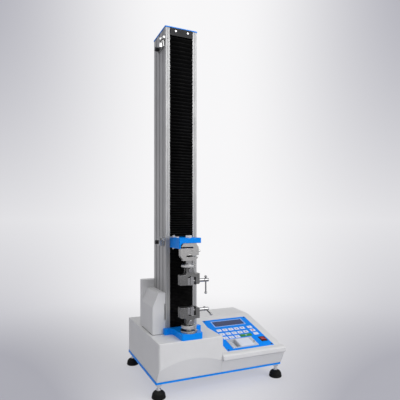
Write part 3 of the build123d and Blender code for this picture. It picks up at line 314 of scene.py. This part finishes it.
def place_group(tree, name, **values):
    """A shared effect placed in a material, made at its first use."""
    if name not in groups:
        groups[name] = {
            "Edge wear": group_edge_wear, "Grain": group_grain,
            "Brushed": group_brushed, "Dust": group_dust,
        }[name]()
    node = tree.nodes.new("ShaderNodeGroup")
    node.node_tree = groups[name]
    for key, value in values.items():
        node.inputs[key.replace("_", " ")].default_value = value
    return node


def new_material(name, roughness=0.5, metallic=0.0, coat=0.0, specular=0.5):
    """A material with a principled shader and its constant values."""
    material = bpy.data.materials.new(name)
    material.use_nodes = True
    tree = material.node_tree
    tree.nodes.clear()
    shader = tree.nodes.new("ShaderNodeBsdfPrincipled")
    output = tree.nodes.new("ShaderNodeOutputMaterial")
    tree.links.new(shader.outputs["BSDF"], output.inputs["Surface"])
    shader.inputs["Roughness"].default_value = roughness
    shader.inputs["Metallic"].default_value = metallic
    shader.inputs["Coat Weight"].default_value = coat
    shader.inputs["Coat Roughness"].default_value = 0.08
    shader.inputs["Specular IOR Level"].default_value = specular
    return material, tree, shader


def bump_into(tree, shader, height, strength, distance, normal):
    """Relief from a height, on top of the rounded normal."""
    bump = tree.nodes.new("ShaderNodeBump")
    bump.inputs["Strength"].default_value = strength
    bump.inputs["Distance"].default_value = distance
    tree.links.new(height, bump.inputs["Height"])
    tree.links.new(normal, bump.inputs["Normal"])
    tree.links.new(bump.outputs["Normal"], shader.inputs["Normal"])


def painted(name, colour, darker, worn, grain=1500.0, bump=0.15, rough=(0.38, 0.5), edge=0.0006,
            wear=0.5, dust=0.12, coat=0.0, specular=0.4):
    """Paint or powder coat: grain, slow drift in tone, worn edges and a little dust."""
    material, tree, shader = new_material(name, coat=coat, specular=specular)
    grain_node = place_group(tree, "Grain", Scale=grain)
    wear_node = place_group(tree, "Edge wear", Radius=edge)
    dust_node = place_group(tree, "Dust", Amount=dust)
    base = blend_colour(tree, grain_node.outputs["Tone"], darker, colour)
    amount = math_node(tree, "MULTIPLY", wear_node.outputs["Mask"], wear)
    base = blend_colour(tree, amount, base, worn)
    base = blend_colour(tree, dust_node.outputs["Mask"], base, DUST_COLOUR)
    tree.links.new(base, shader.inputs["Base Color"])
    gloss = remap(tree, grain_node.outputs["Tone"], 0.0, 1.0, rough[0], rough[1], smooth=False)
    dulled = math_node(tree, "ADD", gloss, dust_node.outputs["Mask"], clamp=True)
    tree.links.new(dulled, shader.inputs["Roughness"])
    bump_into(tree, shader, grain_node.outputs["Height"], bump, PAINT_BUMP, wear_node.outputs["Normal"])
    return material


def metal(name, colour, darker, stretch=(900.0, 900.0, 12.0), rough=(0.25, 0.42), bump=0.08, edge=0.0005,
          wear=0.6, shine=1.0, bright=(0.85, 0.85, 0.86)):
    """Bare or plated metal: fine scratches, drifting gloss and bright edges."""
    material, tree, shader = new_material(name, metallic=shine)
    brushed = place_group(tree, "Brushed", Stretch=stretch)
    wear_node = place_group(tree, "Edge wear", Radius=edge)
    base = blend_colour(tree, brushed.outputs["Tone"], darker, colour)
    amount = math_node(tree, "MULTIPLY", wear_node.outputs["Mask"], wear)
    base = blend_colour(tree, amount, base, bright)
    tree.links.new(base, shader.inputs["Base Color"])
    gloss = remap(tree, brushed.outputs["Tone"], 0.0, 1.0, rough[1], rough[0], smooth=False)
    tree.links.new(gloss, shader.inputs["Roughness"])
    bump_into(tree, shader, brushed.outputs["Height"], bump, METAL_BUMP, wear_node.outputs["Normal"])
    return material


def plastic(name, colour, darker, bump=0.12, rough=(0.35, 0.5), coat=0.0, specular=0.4):
    """Moulded plastic: finer grain, and paler where the edges are rubbed."""
    worn = tuple(min(1.0, c * 1.25 + 0.01) for c in colour)
    return painted(name, colour, darker, worn, grain=2200.0, bump=bump, rough=rough, edge=0.0004,
                   wear=0.35, dust=0.03, coat=coat, specular=specular)


def rubber(name, colour, darker, worn=(0.03, 0.03, 0.031), specular=0.15):
    """Dull rubber or cloth with a coarse grain."""
    return painted(name, colour, darker, worn, grain=900.0, bump=0.35, rough=(0.62, 0.8),
                   edge=0.0008, wear=0.4, dust=0.03, specular=specular)


def lcd_material(colour, cell):
    """Unlit display: deep blue glass with faint character cells behind it."""
    material, tree, shader = new_material("Display glass", roughness=0.22, coat=0.08, specular=0.25)
    coords = add(tree, "ShaderNodeTexCoord")
    turned = add(tree, "ShaderNodeMapping")
    turned.vector_type = "TEXTURE"
    turned.inputs["Location"].default_value = panel_matrix(DISPLAY_U, DISPLAY_V).translation
    turned.inputs["Rotation"].default_value = (SLOPE, 0.0, 0.0)
    join(tree, coords, "Object", turned, "Vector")
    bricks = add(tree, "ShaderNodeTexBrick", offset=0.0, squash=1.0)
    bricks.inputs["Scale"].default_value = 1.0
    bricks.inputs["Brick Width"].default_value = 0.0055
    bricks.inputs["Row Height"].default_value = 0.0078
    bricks.inputs["Mortar Size"].default_value = 0.0007
    bricks.inputs["Mortar Smooth"].default_value = 0.2
    bricks.inputs["Color1"].default_value = (*cell, 1.0)
    bricks.inputs["Color2"].default_value = (*cell, 1.0)
    bricks.inputs["Mortar"].default_value = (*colour, 1.0)
    join(tree, turned, "Vector", bricks, "Vector")
    grain_node = place_group(tree, "Grain", Scale=900.0, Drift=30.0)
    base = blend_colour(tree, math_node(tree, "MULTIPLY", grain_node.outputs["Tone"], 0.35),
                        bricks.outputs["Color"], tuple(c * 0.6 for c in colour))
    tree.links.new(base, shader.inputs["Base Color"])
    wear_node = place_group(tree, "Edge wear", Radius=0.0003)
    tree.links.new(wear_node.outputs["Normal"], shader.inputs["Normal"])
    return material


# Finishes, one maker each

def azure_paint():
    colour = tuple(bpy.context.scene.machine_colours.azure)
    return painted("Azure paint", colour, tuple(c * 0.90 for c in colour), (0.12, 0.45, 1.0), grain=1100.0,
                   bump=0.10, rough=(0.36, 0.46), dust=0.01, specular=0.12)


def cover_paint():
    colour = tuple(bpy.context.scene.machine_colours.cover)
    return painted("Cover powder coat", colour, tuple(c * 0.955 for c in colour), (0.92, 0.92, 0.92),
                   grain=1300.0, bump=0.16, rough=(0.42, 0.52), edge=0.0012, dust=0.06)


def film_print():
    colour = tuple(bpy.context.scene.machine_colours.film)
    return painted("Panel film", colour, tuple(c * 0.9 for c in colour), (0.15, 0.45, 0.95), grain=2600.0,
                   bump=0.06, rough=(0.40, 0.48), wear=0.2, dust=0.0, edge=0.0003, specular=0.06)


finish_makers = {
    "azure_paint": azure_paint,
    "cover_paint": cover_paint,
    "housing_paint": lambda: painted("Housing powder coat", (0.72, 0.72, 0.725), (0.68, 0.68, 0.685),
                                     (0.86, 0.86, 0.86), grain=1300.0, bump=0.16, rough=(0.45, 0.55),
                                     edge=0.0005, dust=0.03),
    "profile": lambda: metal("Anodised profile", (0.46, 0.46, 0.455), (0.38, 0.38, 0.378),
                             stretch=(1500.0, 1500.0, 3.0), rough=(0.42, 0.52), shine=0.35, bump=0.10),
    "bracket_paint": lambda: painted("Bracket paint", (0.013, 0.013, 0.014), (0.009, 0.009, 0.010),
                                     (0.10, 0.10, 0.11), rough=(0.4, 0.55), dust=0.02, specular=0.2),
    "bellows": lambda: rubber("Bellows cloth", (0.004, 0.004, 0.0045), (0.002, 0.002, 0.002),
                              (0.020, 0.020, 0.021), specular=0.08),
    "steel": lambda: metal("Ground steel", (0.46, 0.46, 0.455), (0.30, 0.30, 0.295),
                           stretch=(60.0, 1400.0, 1400.0), rough=(0.22, 0.38)),
    "ring_steel": lambda: metal("Turned ring steel", (0.66, 0.66, 0.65), (0.54, 0.54, 0.53)),
    "polished": lambda: metal("Polished chrome", (0.42, 0.42, 0.42), (0.26, 0.26, 0.26),
                              stretch=(400.0, 400.0, 400.0), rough=(0.10, 0.22), bump=0.03),
    "plated": lambda: metal("Nickel plated casting", (0.26, 0.26, 0.25), (0.12, 0.12, 0.118),
                            stretch=(320.0, 320.0, 320.0), rough=(0.30, 0.46), bump=0.22, edge=0.0008),
    "cell": lambda: metal("Nickel plated cell", (0.56, 0.55, 0.53), (0.42, 0.415, 0.40),
                          stretch=(1200.0, 500.0, 40.0), rough=(0.24, 0.36), bump=0.10),
    "screw_heads": lambda: metal("Bright zinc", (0.70, 0.70, 0.71), (0.56, 0.56, 0.57),
                                 stretch=(700.0, 700.0, 700.0), rough=(0.20, 0.34)),
    "dark_screws": lambda: metal("Black oxide", (0.035, 0.035, 0.05), (0.02, 0.02, 0.03), rough=(0.35, 0.5),
                                 shine=0.4, bright=(0.25, 0.25, 0.28)),
    "rubber": lambda: rubber("Foot rubber", (0.006, 0.006, 0.0065), (0.003, 0.003, 0.003)),
    "film": film_print,
    "lcd": lambda: lcd_material((0.008, 0.018, 0.085), (0.012, 0.035, 0.15)),
    "printer_case": lambda: plastic("Printer case", (0.58, 0.61, 0.66), (0.52, 0.55, 0.60)),
    "printer_door": lambda: plastic("Printer door", (0.74, 0.78, 0.88), (0.70, 0.74, 0.84)),
    "button": lambda: plastic("Printer button", (0.10, 0.11, 0.14), (0.07, 0.08, 0.10)),
    "paper": lambda: painted("Paper roll", (0.86, 0.86, 0.84), (0.80, 0.80, 0.78), (0.9, 0.9, 0.88),
                             grain=2500.0, rough=(0.7, 0.85)),
    "rocker_black": lambda: plastic("Switch frame", (0.014, 0.014, 0.015), (0.009, 0.009, 0.010)),
    "rocker_red": lambda: plastic("Switch rocker", (0.42, 0.004, 0.008), (0.32, 0.003, 0.006), bump=0.03,
                                  rough=(0.22, 0.30), coat=0.12, specular=0.3),
    "knob": lambda: plastic("Clamp knob", (0.016, 0.016, 0.018), (0.010, 0.010, 0.011), bump=0.2),
    "bearing": lambda: metal("Bearing steel", (0.64, 0.64, 0.66), (0.52, 0.52, 0.54), rough=(0.12, 0.24)),
    "alloy": lambda: metal("Milled alloy", (0.58, 0.59, 0.60), (0.50, 0.51, 0.52),
                           stretch=(900.0, 60.0, 900.0)),
    "motor": lambda: painted("Motor paint", (0.04, 0.04, 0.045), (0.03, 0.03, 0.034), (0.2, 0.2, 0.2)),
    "belt": lambda: rubber("Belt rubber", (0.015, 0.015, 0.015), (0.010, 0.010, 0.010)),
    "circuit": lambda: plastic("Circuit board", (0.01, 0.12, 0.05), (0.008, 0.09, 0.04), rough=(0.3, 0.4)),
    "sheet": lambda: metal("Zinc sheet", (0.58, 0.59, 0.60), (0.46, 0.47, 0.49), stretch=(60.0, 60.0, 60.0)),
    "inlet": lambda: plastic("Inlet moulding", (0.015, 0.015, 0.016), (0.010, 0.010, 0.011)),
}
finishes = {}


def finish_of(slot):
    """The material of a slot, made at its first use."""
    if slot not in finishes:
        finishes[slot] = finish_makers[slot]()
    return finishes[slot]


# Mesh helpers

def to_object(bm, name, material, body, sharp=30.0, recalc=False):
    """The bmesh becomes a finished object at the origin that rides on a body."""
    if recalc:
        bmesh.ops.recalc_face_normals(bm, faces=bm.faces)
    mesh = bpy.data.meshes.new(name)
    bm.to_mesh(mesh)
    bm.free()
    mesh.materials.append(material)
    mesh.polygons.foreach_set("use_smooth", [True] * len(mesh.polygons))
    mesh.set_sharp_from_angle(angle=math.radians(sharp))
    obj = bpy.data.objects.new(name, mesh)
    bpy.context.scene.collection.objects.link(obj)
    if body:
        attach(obj, body)
    return obj


def add_pad(bm, width, length, height, corner, matrix):
    """A low pad with rounded corners and a soft top edge."""
    part = bmesh.new()
    made = bmesh.ops.create_grid(part, x_segments=1, y_segments=1, size=0.5)
    bmesh.ops.scale(part, vec=(width, length, 1.0), verts=made["verts"])
    bmesh.ops.bevel(part, geom=list(part.verts), offset=corner, offset_type="OFFSET", segments=4,
                    profile=0.5, affect="VERTICES", material=-1)
    region = bmesh.ops.extrude_face_region(part, geom=list(part.faces))
    bottom = [f for f in part.faces if f not in region["geom"] and len(f.verts) > 4]
    top = [v for v in region["geom"] if isinstance(v, bmesh.types.BMVert)]
    bmesh.ops.translate(part, vec=(0, 0, height), verts=top)
    top_face = [f for f in region["geom"] if isinstance(f, bmesh.types.BMFace)][0]
    bmesh.ops.bevel(part, geom=list(top_face.edges), offset=PAD_EDGE, offset_type="OFFSET", segments=2,
                    profile=0.5, affect="EDGES", material=-1)
    if not bottom:
        bmesh.ops.holes_fill(part, edges=part.edges)
    bmesh.ops.recalc_face_normals(part, faces=part.faces)
    bmesh.ops.transform(part, matrix=matrix, verts=part.verts)
    pour(part, bm)


def pour(part, bm):
    """Adds a finished part's mesh to another mesh."""
    mesh = bpy.data.meshes.new("part")
    part.to_mesh(mesh)
    part.free()
    bm.from_mesh(mesh)
    bpy.data.meshes.remove(mesh)


def add_disc(bm, corners, radius, matrix, turn=0):
    """A flat mark with so many corners, turned in its own plane by degrees."""
    made = bmesh.ops.create_circle(bm, cap_ends=True, segments=corners, radius=radius)
    spin = Matrix.Rotation(math.radians(turn), 4, "Z")
    bmesh.ops.transform(bm, matrix=matrix @ spin, verts=made["verts"])


def text_piece(name, words, matrix, material, body):
    """Generic lettering: a text curve is turned into a mesh before its place is applied."""
    curve = bpy.data.curves.new(name, "FONT")
    curve.body = words
    curve.size = LETTER_SIZE
    curve.extrude = LETTER_DEPTH
    curve.align_x = "CENTER"
    curve.align_y = "CENTER"
    holder = bpy.data.objects.new(name + "_curve", curve)
    bpy.context.scene.collection.objects.link(holder)
    bpy.context.view_layer.update()
    mesh = bpy.data.meshes.new_from_object(holder)
    bpy.data.objects.remove(holder)
    mesh.transform(matrix)
    mesh.name = name
    mesh.materials.clear()
    mesh.materials.append(material)
    obj = bpy.data.objects.new(name, mesh)
    bpy.context.scene.collection.objects.link(obj)
    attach(obj, body)


# Settings a user would change

class MachineColours(bpy.types.PropertyGroup):
    azure: bpy.props.FloatVectorProperty(
        name="Azure", description="Paint of the plates and the crosshead", subtype="COLOR", size=3,
        min=0.0, max=1.0, default=(0.0, 0.285, 1.0))
    cover: bpy.props.FloatVectorProperty(
        name="Cover", description="Powder coat of the base cover", subtype="COLOR", size=3,
        min=0.0, max=1.0, default=(0.73, 0.73, 0.735))
    film: bpy.props.FloatVectorProperty(
        name="Film", description="Ground colour of the control panel", subtype="COLOR", size=3,
        min=0.0, max=1.0, default=(0.0, 0.27, 1.0))


class MachineSizes(bpy.types.PropertyGroup):
    fold_depth: bpy.props.FloatProperty(
        name="Fold depth", description="How deep each fold of the bellows is", default=0.011,
        unit="LENGTH", min=0.002, max=0.02)
    upper_folds: bpy.props.IntProperty(
        name="Upper folds", description="Number of folds above the crosshead", default=64, min=10, max=120)
    lower_folds: bpy.props.IntProperty(
        name="Lower folds", description="Number of folds below the crosshead", default=54, min=10, max=120)
    key_corner: bpy.props.FloatProperty(
        name="Key corner", description="Corner radius of a printed key", default=0.0022, unit="LENGTH",
        min=0.0, max=0.008)
    camera_lens: bpy.props.FloatProperty(
        name="Lens", description="Focal length that gives the photograph's frame", default=36.05,
        min=10.0, max=120.0, subtype="DISTANCE_CAMERA")


class MACHINE_OT_finishes(bpy.types.Operator):
    """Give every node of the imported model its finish"""
    bl_idname = "machine.finishes"
    bl_label = "Finishes"

    def execute(self, context):
        slots = {s["node"]: s["material_slot"] for s in frame["record"]["subparts"]}
        for node, obj in frame["nodes"].items():
            obj.data.materials.clear()
            slot = "ring_steel" if node.endswith("lock_ring") else slots[node]
            obj.data.materials.append(finish_of(slot))
        return {"FINISHED"}


def fold_piece(node, low_corner, high_corner, folds, growth):
    """A folded curtain: a zigzag of edges is pulled across, and its folds are rounded."""
    depth = bpy.context.scene.machine_sizes.fold_depth
    x0, x1 = bellows_up_low.x, bellows_up_high.x
    front = bellows_up_low.y
    low, high = low_corner.z, high_corner.z
    bm = bmesh.new()
    previous = None
    for i in range(2 * folds + 1):
        share = i / (2 * folds)
        if growth > 1.001:
            share = (growth ** share - 1) / (growth - 1)
        z = low + (high - low) * share
        y = front if i % 2 else front + depth
        vert = bm.verts.new((x0, y, z))
        if previous is not None:
            bm.edges.new((previous, vert))
        previous = vert
    edges = list(bm.edges)
    side = bmesh.ops.extrude_edge_only(bm, edges=edges)
    moved = [v for v in side["geom"] if isinstance(v, bmesh.types.BMVert)]
    bmesh.ops.translate(bm, vec=(x1 - x0, 0, 0), verts=moved)
    across = [e for e in bm.edges if abs(e.verts[0].co.x - e.verts[1].co.x) > 0.5 * (x1 - x0)]
    inner = [e for e in across if low + 1e-5 < e.verts[0].co.z < high - 1e-5]
    bmesh.ops.bevel(bm, geom=inner, offset=FOLD_ROUND, offset_type="OFFSET", segments=2, profile=0.5,
                    affect="EDGES", material=-1)
    bmesh.ops.recalc_face_normals(bm, faces=bm.faces)
    if sum(f.normal.y * f.calc_area() for f in bm.faces) > 0:
        bmesh.ops.reverse_faces(bm, faces=bm.faces)
    obj = to_object(bm, node + "_folds", finish_of("bellows"), None, sharp=50.0)
    thick = obj.modifiers.new("Cloth", "SOLIDIFY")
    thick.thickness = CLOTH_THICK
    thick.offset = -1.0
    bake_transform(obj)
    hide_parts(node)


class MACHINE_OT_bellows(bpy.types.Operator):
    """Fold the two bellows that close the column's front"""
    bl_idname = "machine.bellows"
    bl_label = "Bellows"

    def execute(self, context):
        sizes = context.scene.machine_sizes
        fold_piece("bellows_upper", bellows_up_low, bellows_up_high, sizes.upper_folds, UPPER_GROWTH)
        fold_piece("bellows_lower", bellows_low_low, bellows_low_high, sizes.lower_folds, EVEN_GROWTH)
        return {"FINISHED"}


key_us = [KEY_FIRST + KEY_STEP * i for i in range(5)]
key_rows = (133.5, 105.5, 80.0)
side_key_vs = (133.5, 109.5, 84.5)


def key_layout():
    """Each key: place across, place up the slope, and its generic mark."""
    marks = [["7", "8", "9", "up", "down"], ["4", "5", "6", "left", "right"], ["1", "2", "3"]]
    keys = []
    for row, v in enumerate(key_rows):
        keys += [(key_us[i], v, mark) for i, mark in enumerate(marks[row])]
    keys += [(SIDE_KEY_U, v, mark) for v, mark in zip(side_key_vs, ("0", "stop", "dot"))]
    return keys


class MACHINE_OT_keys(bpy.types.Operator):
    """Print the keys and their generic marks on the panel film"""
    bl_idname = "machine.keys"
    bl_label = "Keys"

    def execute(self, context):
        corner = context.scene.machine_sizes.key_corner
        key_white = plastic("Key print white", (0.80, 0.83, 0.93), (0.72, 0.76, 0.90), bump=0.04)
        key_ink = plastic("Key print blue", (0.02, 0.06, 0.30), (0.015, 0.05, 0.24), bump=0.02)
        key_green = plastic("Key print green", (0.008, 0.27, 0.012), (0.006, 0.22, 0.010), bump=0.04)
        key_red = plastic("Key print red", (0.65, 0.02, 0.02), (0.55, 0.015, 0.015), bump=0.02)
        bm = bmesh.new()
        marks = bmesh.new()
        red = bmesh.new()
        for u, v, mark in key_layout():
            add_pad(bm, KEY_WIDTH / 1000, KEY_LENGTH, KEY_HEIGHT, corner, panel_matrix(u, v, KEY_LIFT))
            base = panel_matrix(u, v, MARK_LIFT)
            if mark in ARROW_TURNS:
                add_disc(marks, 3, ARROW_RADIUS, base, ARROW_TURNS[mark])
            elif mark == "stop":
                add_disc(red, 24, STOP_RADIUS, base)
            elif mark == "dot":
                add_disc(marks, 16, DOT_RADIUS, base)
            else:
                text_piece(f"key_mark_{mark}", mark, base, key_ink, "frame_body")
        to_object(bm, "key_faces", key_white, "frame_body")
        to_object(marks, "key_arrows", key_ink, "frame_body")
        to_object(red, "key_stop_mark", key_red, "frame_body")
        start_u = key_us[0] + KEY_STEP * START_PLACE
        start_v = key_rows[2] + START_SHIFT
        green = bmesh.new()
        add_pad(green, START_WIDTH, KEY_LENGTH, KEY_HEIGHT, corner, panel_matrix(start_u, start_v, KEY_LIFT))
        to_object(green, "key_start_face", key_green, "frame_body")
        sign = bmesh.new()
        add_disc(sign, 3, ARROW_RADIUS, panel_matrix(start_u, start_v, MARK_LIFT), ARROW_TURNS["right"])
        to_object(sign, "key_start_mark", key_white, "frame_body")
        return {"FINISHED"}


class MACHINE_OT_display_frame(bpy.types.Operator):
    """Lay the pale printed border around the display"""
    bl_idname = "machine.display_frame"
    bl_label = "Display border"

    def execute(self, context):
        pale = plastic("Display border print", (0.50, 0.62, 0.86), (0.44, 0.56, 0.80), bump=0.03)
        bm = bmesh.new()
        made = bmesh.ops.create_grid(bm, x_segments=1, y_segments=1, size=0.5)
        bmesh.ops.scale(bm, vec=(BORDER_WIDTH, BORDER_LENGTH, 1.0), verts=made["verts"])
        inner = bmesh.ops.inset_individual(bm, faces=list(bm.faces), thickness=BORDER_INSET)
        middle = [f for f in bm.faces if f.calc_center_median().length < 1e-6 and f not in inner["faces"]]
        bmesh.ops.delete(bm, geom=middle, context="FACES_ONLY")
        bmesh.ops.solidify(bm, geom=list(bm.faces), thickness=BORDER_THICK)
        bmesh.ops.transform(bm, matrix=panel_matrix(DISPLAY_U, DISPLAY_V, BORDER_LIFT), verts=bm.verts)
        to_object(bm, "display_border", pale, "frame_body", recalc=True)
        return {"FINISHED"}


def vignette(tree, direction):
    """Backdrop colour for a direction: pale in the middle, greyer towards the corners and lower down, as
    painted shade of light falling off.
    """
    across = tree.nodes.new("ShaderNodeVectorMath")
    across.operation = "DOT_PRODUCT"
    across.inputs[1].default_value = (VIEW_Y, -VIEW_X, 0.0)
    tree.links.new(direction, across.inputs[0])
    parts = tree.nodes.new("ShaderNodeSeparateXYZ")
    tree.links.new(direction, parts.inputs[0])
    off = remap(tree, math_node(tree, "ABSOLUTE", across.outputs["Value"]), 0.06, 0.50)
    rise = math_node(tree, "ABSOLUTE", parts.outputs["Z"])
    share = math_node(tree, "ADD", math_node(tree, "MULTIPLY", rise, 1.6), 0.38)
    corner = math_node(tree, "MULTIPLY", off, share)
    low = remap(tree, parts.outputs["Z"], -0.14, -0.42, 0.0, 0.42)
    dark = math_node(tree, "ADD", corner, low, clamp=True)
    return blend_colour(tree, dark, BACKDROP_PALE, BACKDROP_GREY)


class MACHINE_OT_lip_corner(bpy.types.Operator):
    """Close the console's lip at its left end, where it stands proud of the block"""
    bl_idname = "machine.lip_corner"
    bl_label = "Lip corner"

    def execute(self, context):
        bm = bmesh.new()
        for outline, x0, x1 in ((LIP_OUTLINE, LIP_FROM, LIP_TO), (WALL_OUTLINE, WALL_FROM, WALL_TO)):
            part = bmesh.new()
            face = part.faces.new([part.verts.new((x0, y, z)) for y, z in outline])
            region = bmesh.ops.extrude_face_region(part, geom=[face])
            moved = [v for v in region["geom"] if isinstance(v, bmesh.types.BMVert)]
            bmesh.ops.translate(part, vec=(x1 - x0, 0, 0), verts=moved)
            bmesh.ops.holes_fill(part, edges=part.edges)
            bmesh.ops.recalc_face_normals(part, faces=part.faces)
            pour(part, bm)
        to_object(bm, "lip_corner_fill", finish_of("cover_paint"), "frame_body")
        return {"FINISHED"}


class MACHINE_OT_painted_shadow_strip(bpy.types.Operator):
    """Lay dark strips under the housing beside the column as painted shadow where the gap there is in shade
    """
    bl_idname = "machine.seam_gasket"
    bl_label = "Painted shadow strip"

    def execute(self, context):
        bm = bmesh.new()
        for corners in (SHADOW_STRIP_FRONT, SHADOW_STRIP_SIDE):
            low, high = (Vector(corner) for corner in corners)
            size = high - low
            place = Matrix.Translation((low + high) / 2) @ Matrix.Diagonal((*size, 1.0))
            bmesh.ops.create_cube(bm, size=1.0, matrix=place)
        # The strips take the foot rubber's black as painted shadow of the gap under the housing
        to_object(bm, "housing_painted_shadow_strip", finish_of("rubber"), "frame_body")
        return {"FINISHED"}


def build_world(scene):
    """Even light for the object, and the pale backdrop only where it is seen or mirrored."""
    world = bpy.data.worlds.new("Studio")
    scene.world = world
    world.use_nodes = True
    tree = world.node_tree
    tree.nodes.clear()
    output = add(tree, "ShaderNodeOutputWorld")
    shown = add(tree, "ShaderNodeBackground")
    lit = add(tree, "ShaderNodeBackground", Color=WORLD_COLOUR, Strength=WORLD_STRENGTH)
    coords = add(tree, "ShaderNodeTexCoord")
    tone = vignette(tree, coords.outputs["Generated"])
    tree.links.new(tone, shown.inputs["Color"])
    rays = add(tree, "ShaderNodeLightPath")
    seen = math_node(tree, "MAXIMUM", rays.outputs["Is Camera Ray"], rays.outputs["Is Glossy Ray"])
    seen = math_node(tree, "MAXIMUM", seen, rays.outputs["Is Transmission Ray"])
    mix = add(tree, "ShaderNodeMixShader")
    tree.links.new(seen, mix.inputs[0])
    join(tree, lit, "Background", mix, 1)
    join(tree, shown, "Background", mix, 2)
    join(tree, mix, "Shader", output, "Surface")


def floor_finish():
    """Pale floor that keeps a soft shadow near the object and runs into the backdrop."""
    material, tree, shader = new_material("Studio floor", roughness=0.75, specular=0.2)
    coords = add(tree, "ShaderNodeTexCoord")
    reach = add(tree, "ShaderNodeVectorMath", operation="LENGTH")
    join(tree, coords, "Object", reach, 0)
    from_eye = add(tree, "ShaderNodeVectorMath", operation="SUBTRACT")
    from_eye.inputs[1].default_value = CAMERA_PLACE
    join(tree, coords, "Object", from_eye, 0)
    line = add(tree, "ShaderNodeVectorMath", operation="NORMALIZE")
    join(tree, from_eye, "Vector", line, 0)
    # The floor's colour and glow carry the backdrop's painted shade towards the corners
    tint = vignette(tree, line.outputs["Vector"])
    tree.links.new(tint, shader.inputs["Base Color"])
    far = add(tree, "ShaderNodeEmission")
    tree.links.new(tint, far.inputs["Color"])
    glow = remap(tree, reach.outputs["Value"], 0.45, 1.6, 0.62, 1.0)
    rays = add(tree, "ShaderNodeLightPath")
    seen = math_node(tree, "MAXIMUM", rays.outputs["Is Camera Ray"], rays.outputs["Is Glossy Ray"])
    mix = add(tree, "ShaderNodeMixShader")
    tree.links.new(math_node(tree, "MULTIPLY", glow, seen), mix.inputs[0])
    join(tree, shader, "BSDF", mix, 1)
    join(tree, far, "Emission", mix, 2)
    output = [n for n in tree.nodes if n.type == "OUTPUT_MATERIAL"][0]
    join(tree, mix, "Shader", output, "Surface")
    return material


def build_floor(scene):
    """A wide round floor under the feet."""
    bm = bmesh.new()
    bmesh.ops.create_circle(bm, cap_ends=True, segments=96, radius=FLOOR_RADIUS)
    mesh = bpy.data.meshes.new("studio_floor")
    bm.to_mesh(mesh)
    bm.free()
    mesh.materials.append(floor_finish())
    floor = bpy.data.objects.new("studio_floor", mesh)
    scene.collection.objects.link(floor)


def add_lamp(scene, name, place, aim, size, watts):
    """A soft rectangular lamp that looks at a point."""
    light = bpy.data.lights.new(name, "AREA")
    light.shape = "RECTANGLE"
    light.size, light.size_y = size
    light.energy = watts
    obj = bpy.data.objects.new(name, light)
    obj.location = place
    obj.rotation_euler = (Vector(aim) - Vector(place)).to_track_quat("-Z", "Y").to_euler()
    scene.collection.objects.link(obj)


def place_camera(scene):
    """The camera at the place from which the photograph was taken."""
    camera = bpy.data.cameras.new("photo_camera")
    camera.sensor_width = 36.0
    camera.lens = scene.machine_sizes.camera_lens
    camera.shift_y = CAMERA_SHIFT
    camera.clip_end = 100.0
    eye = bpy.data.objects.new("photo_camera", camera)
    eye.location = CAMERA_PLACE
    eye.rotation_euler = (math.radians(90), 0.0, math.radians(CAMERA_TURN))
    scene.collection.objects.link(eye)
    scene.camera = eye


class MACHINE_OT_stage(bpy.types.Operator):
    """Floor, backdrop, lamps and the camera at the photograph's place"""
    bl_idname = "machine.stage"
    bl_label = "Stage"

    def execute(self, context):
        scene = context.scene
        scene.view_settings.view_transform = "Standard"
        build_world(scene)
        build_floor(scene)
        for lamp in LAMPS:
            add_lamp(scene, *lamp)
        place_camera(scene)
        return {"FINISHED"}


class MACHINE_PT_panel(bpy.types.Panel):
    """Sidebar panel with the settings and the steps"""
    bl_idname = "MACHINE_PT_panel"
    bl_label = "Testing machine"
    bl_space_type = "VIEW_3D"
    bl_region_type = "UI"
    bl_category = "Testing machine"

    def draw(self, context):
        layout = self.layout
        for settings in (context.scene.machine_colours, context.scene.machine_sizes):
            for name in settings.__annotations__:
                layout.prop(settings, name)
        for operator in operators:
            layout.operator(operator.bl_idname)


operators = (
    MACHINE_OT_finishes,
    MACHINE_OT_bellows,
    MACHINE_OT_keys,
    MACHINE_OT_display_frame,
    MACHINE_OT_lip_corner,
    MACHINE_OT_painted_shadow_strip,
    MACHINE_OT_stage,
)
classes = (MachineColours, MachineSizes, *operators, MACHINE_PT_panel)


def register():
    for cls in classes:
        bpy.utils.register_class(cls)
    bpy.types.Scene.machine_colours = bpy.props.PointerProperty(type=MachineColours)
    bpy.types.Scene.machine_sizes = bpy.props.PointerProperty(type=MachineSizes)


def unregister():
    del bpy.types.Scene.machine_sizes
    del bpy.types.Scene.machine_colours
    for cls in reversed(classes):
        bpy.utils.unregister_class(cls)


def main():
    register()
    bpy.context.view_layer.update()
    bpy.ops.machine.finishes()
    bpy.ops.machine.bellows()
    bpy.ops.machine.keys()
    bpy.ops.machine.display_frame()
    bpy.ops.machine.lip_corner()
    bpy.ops.machine.seam_gasket()
    bpy.ops.machine.stage()


if __name__ == "__main__":
    main()
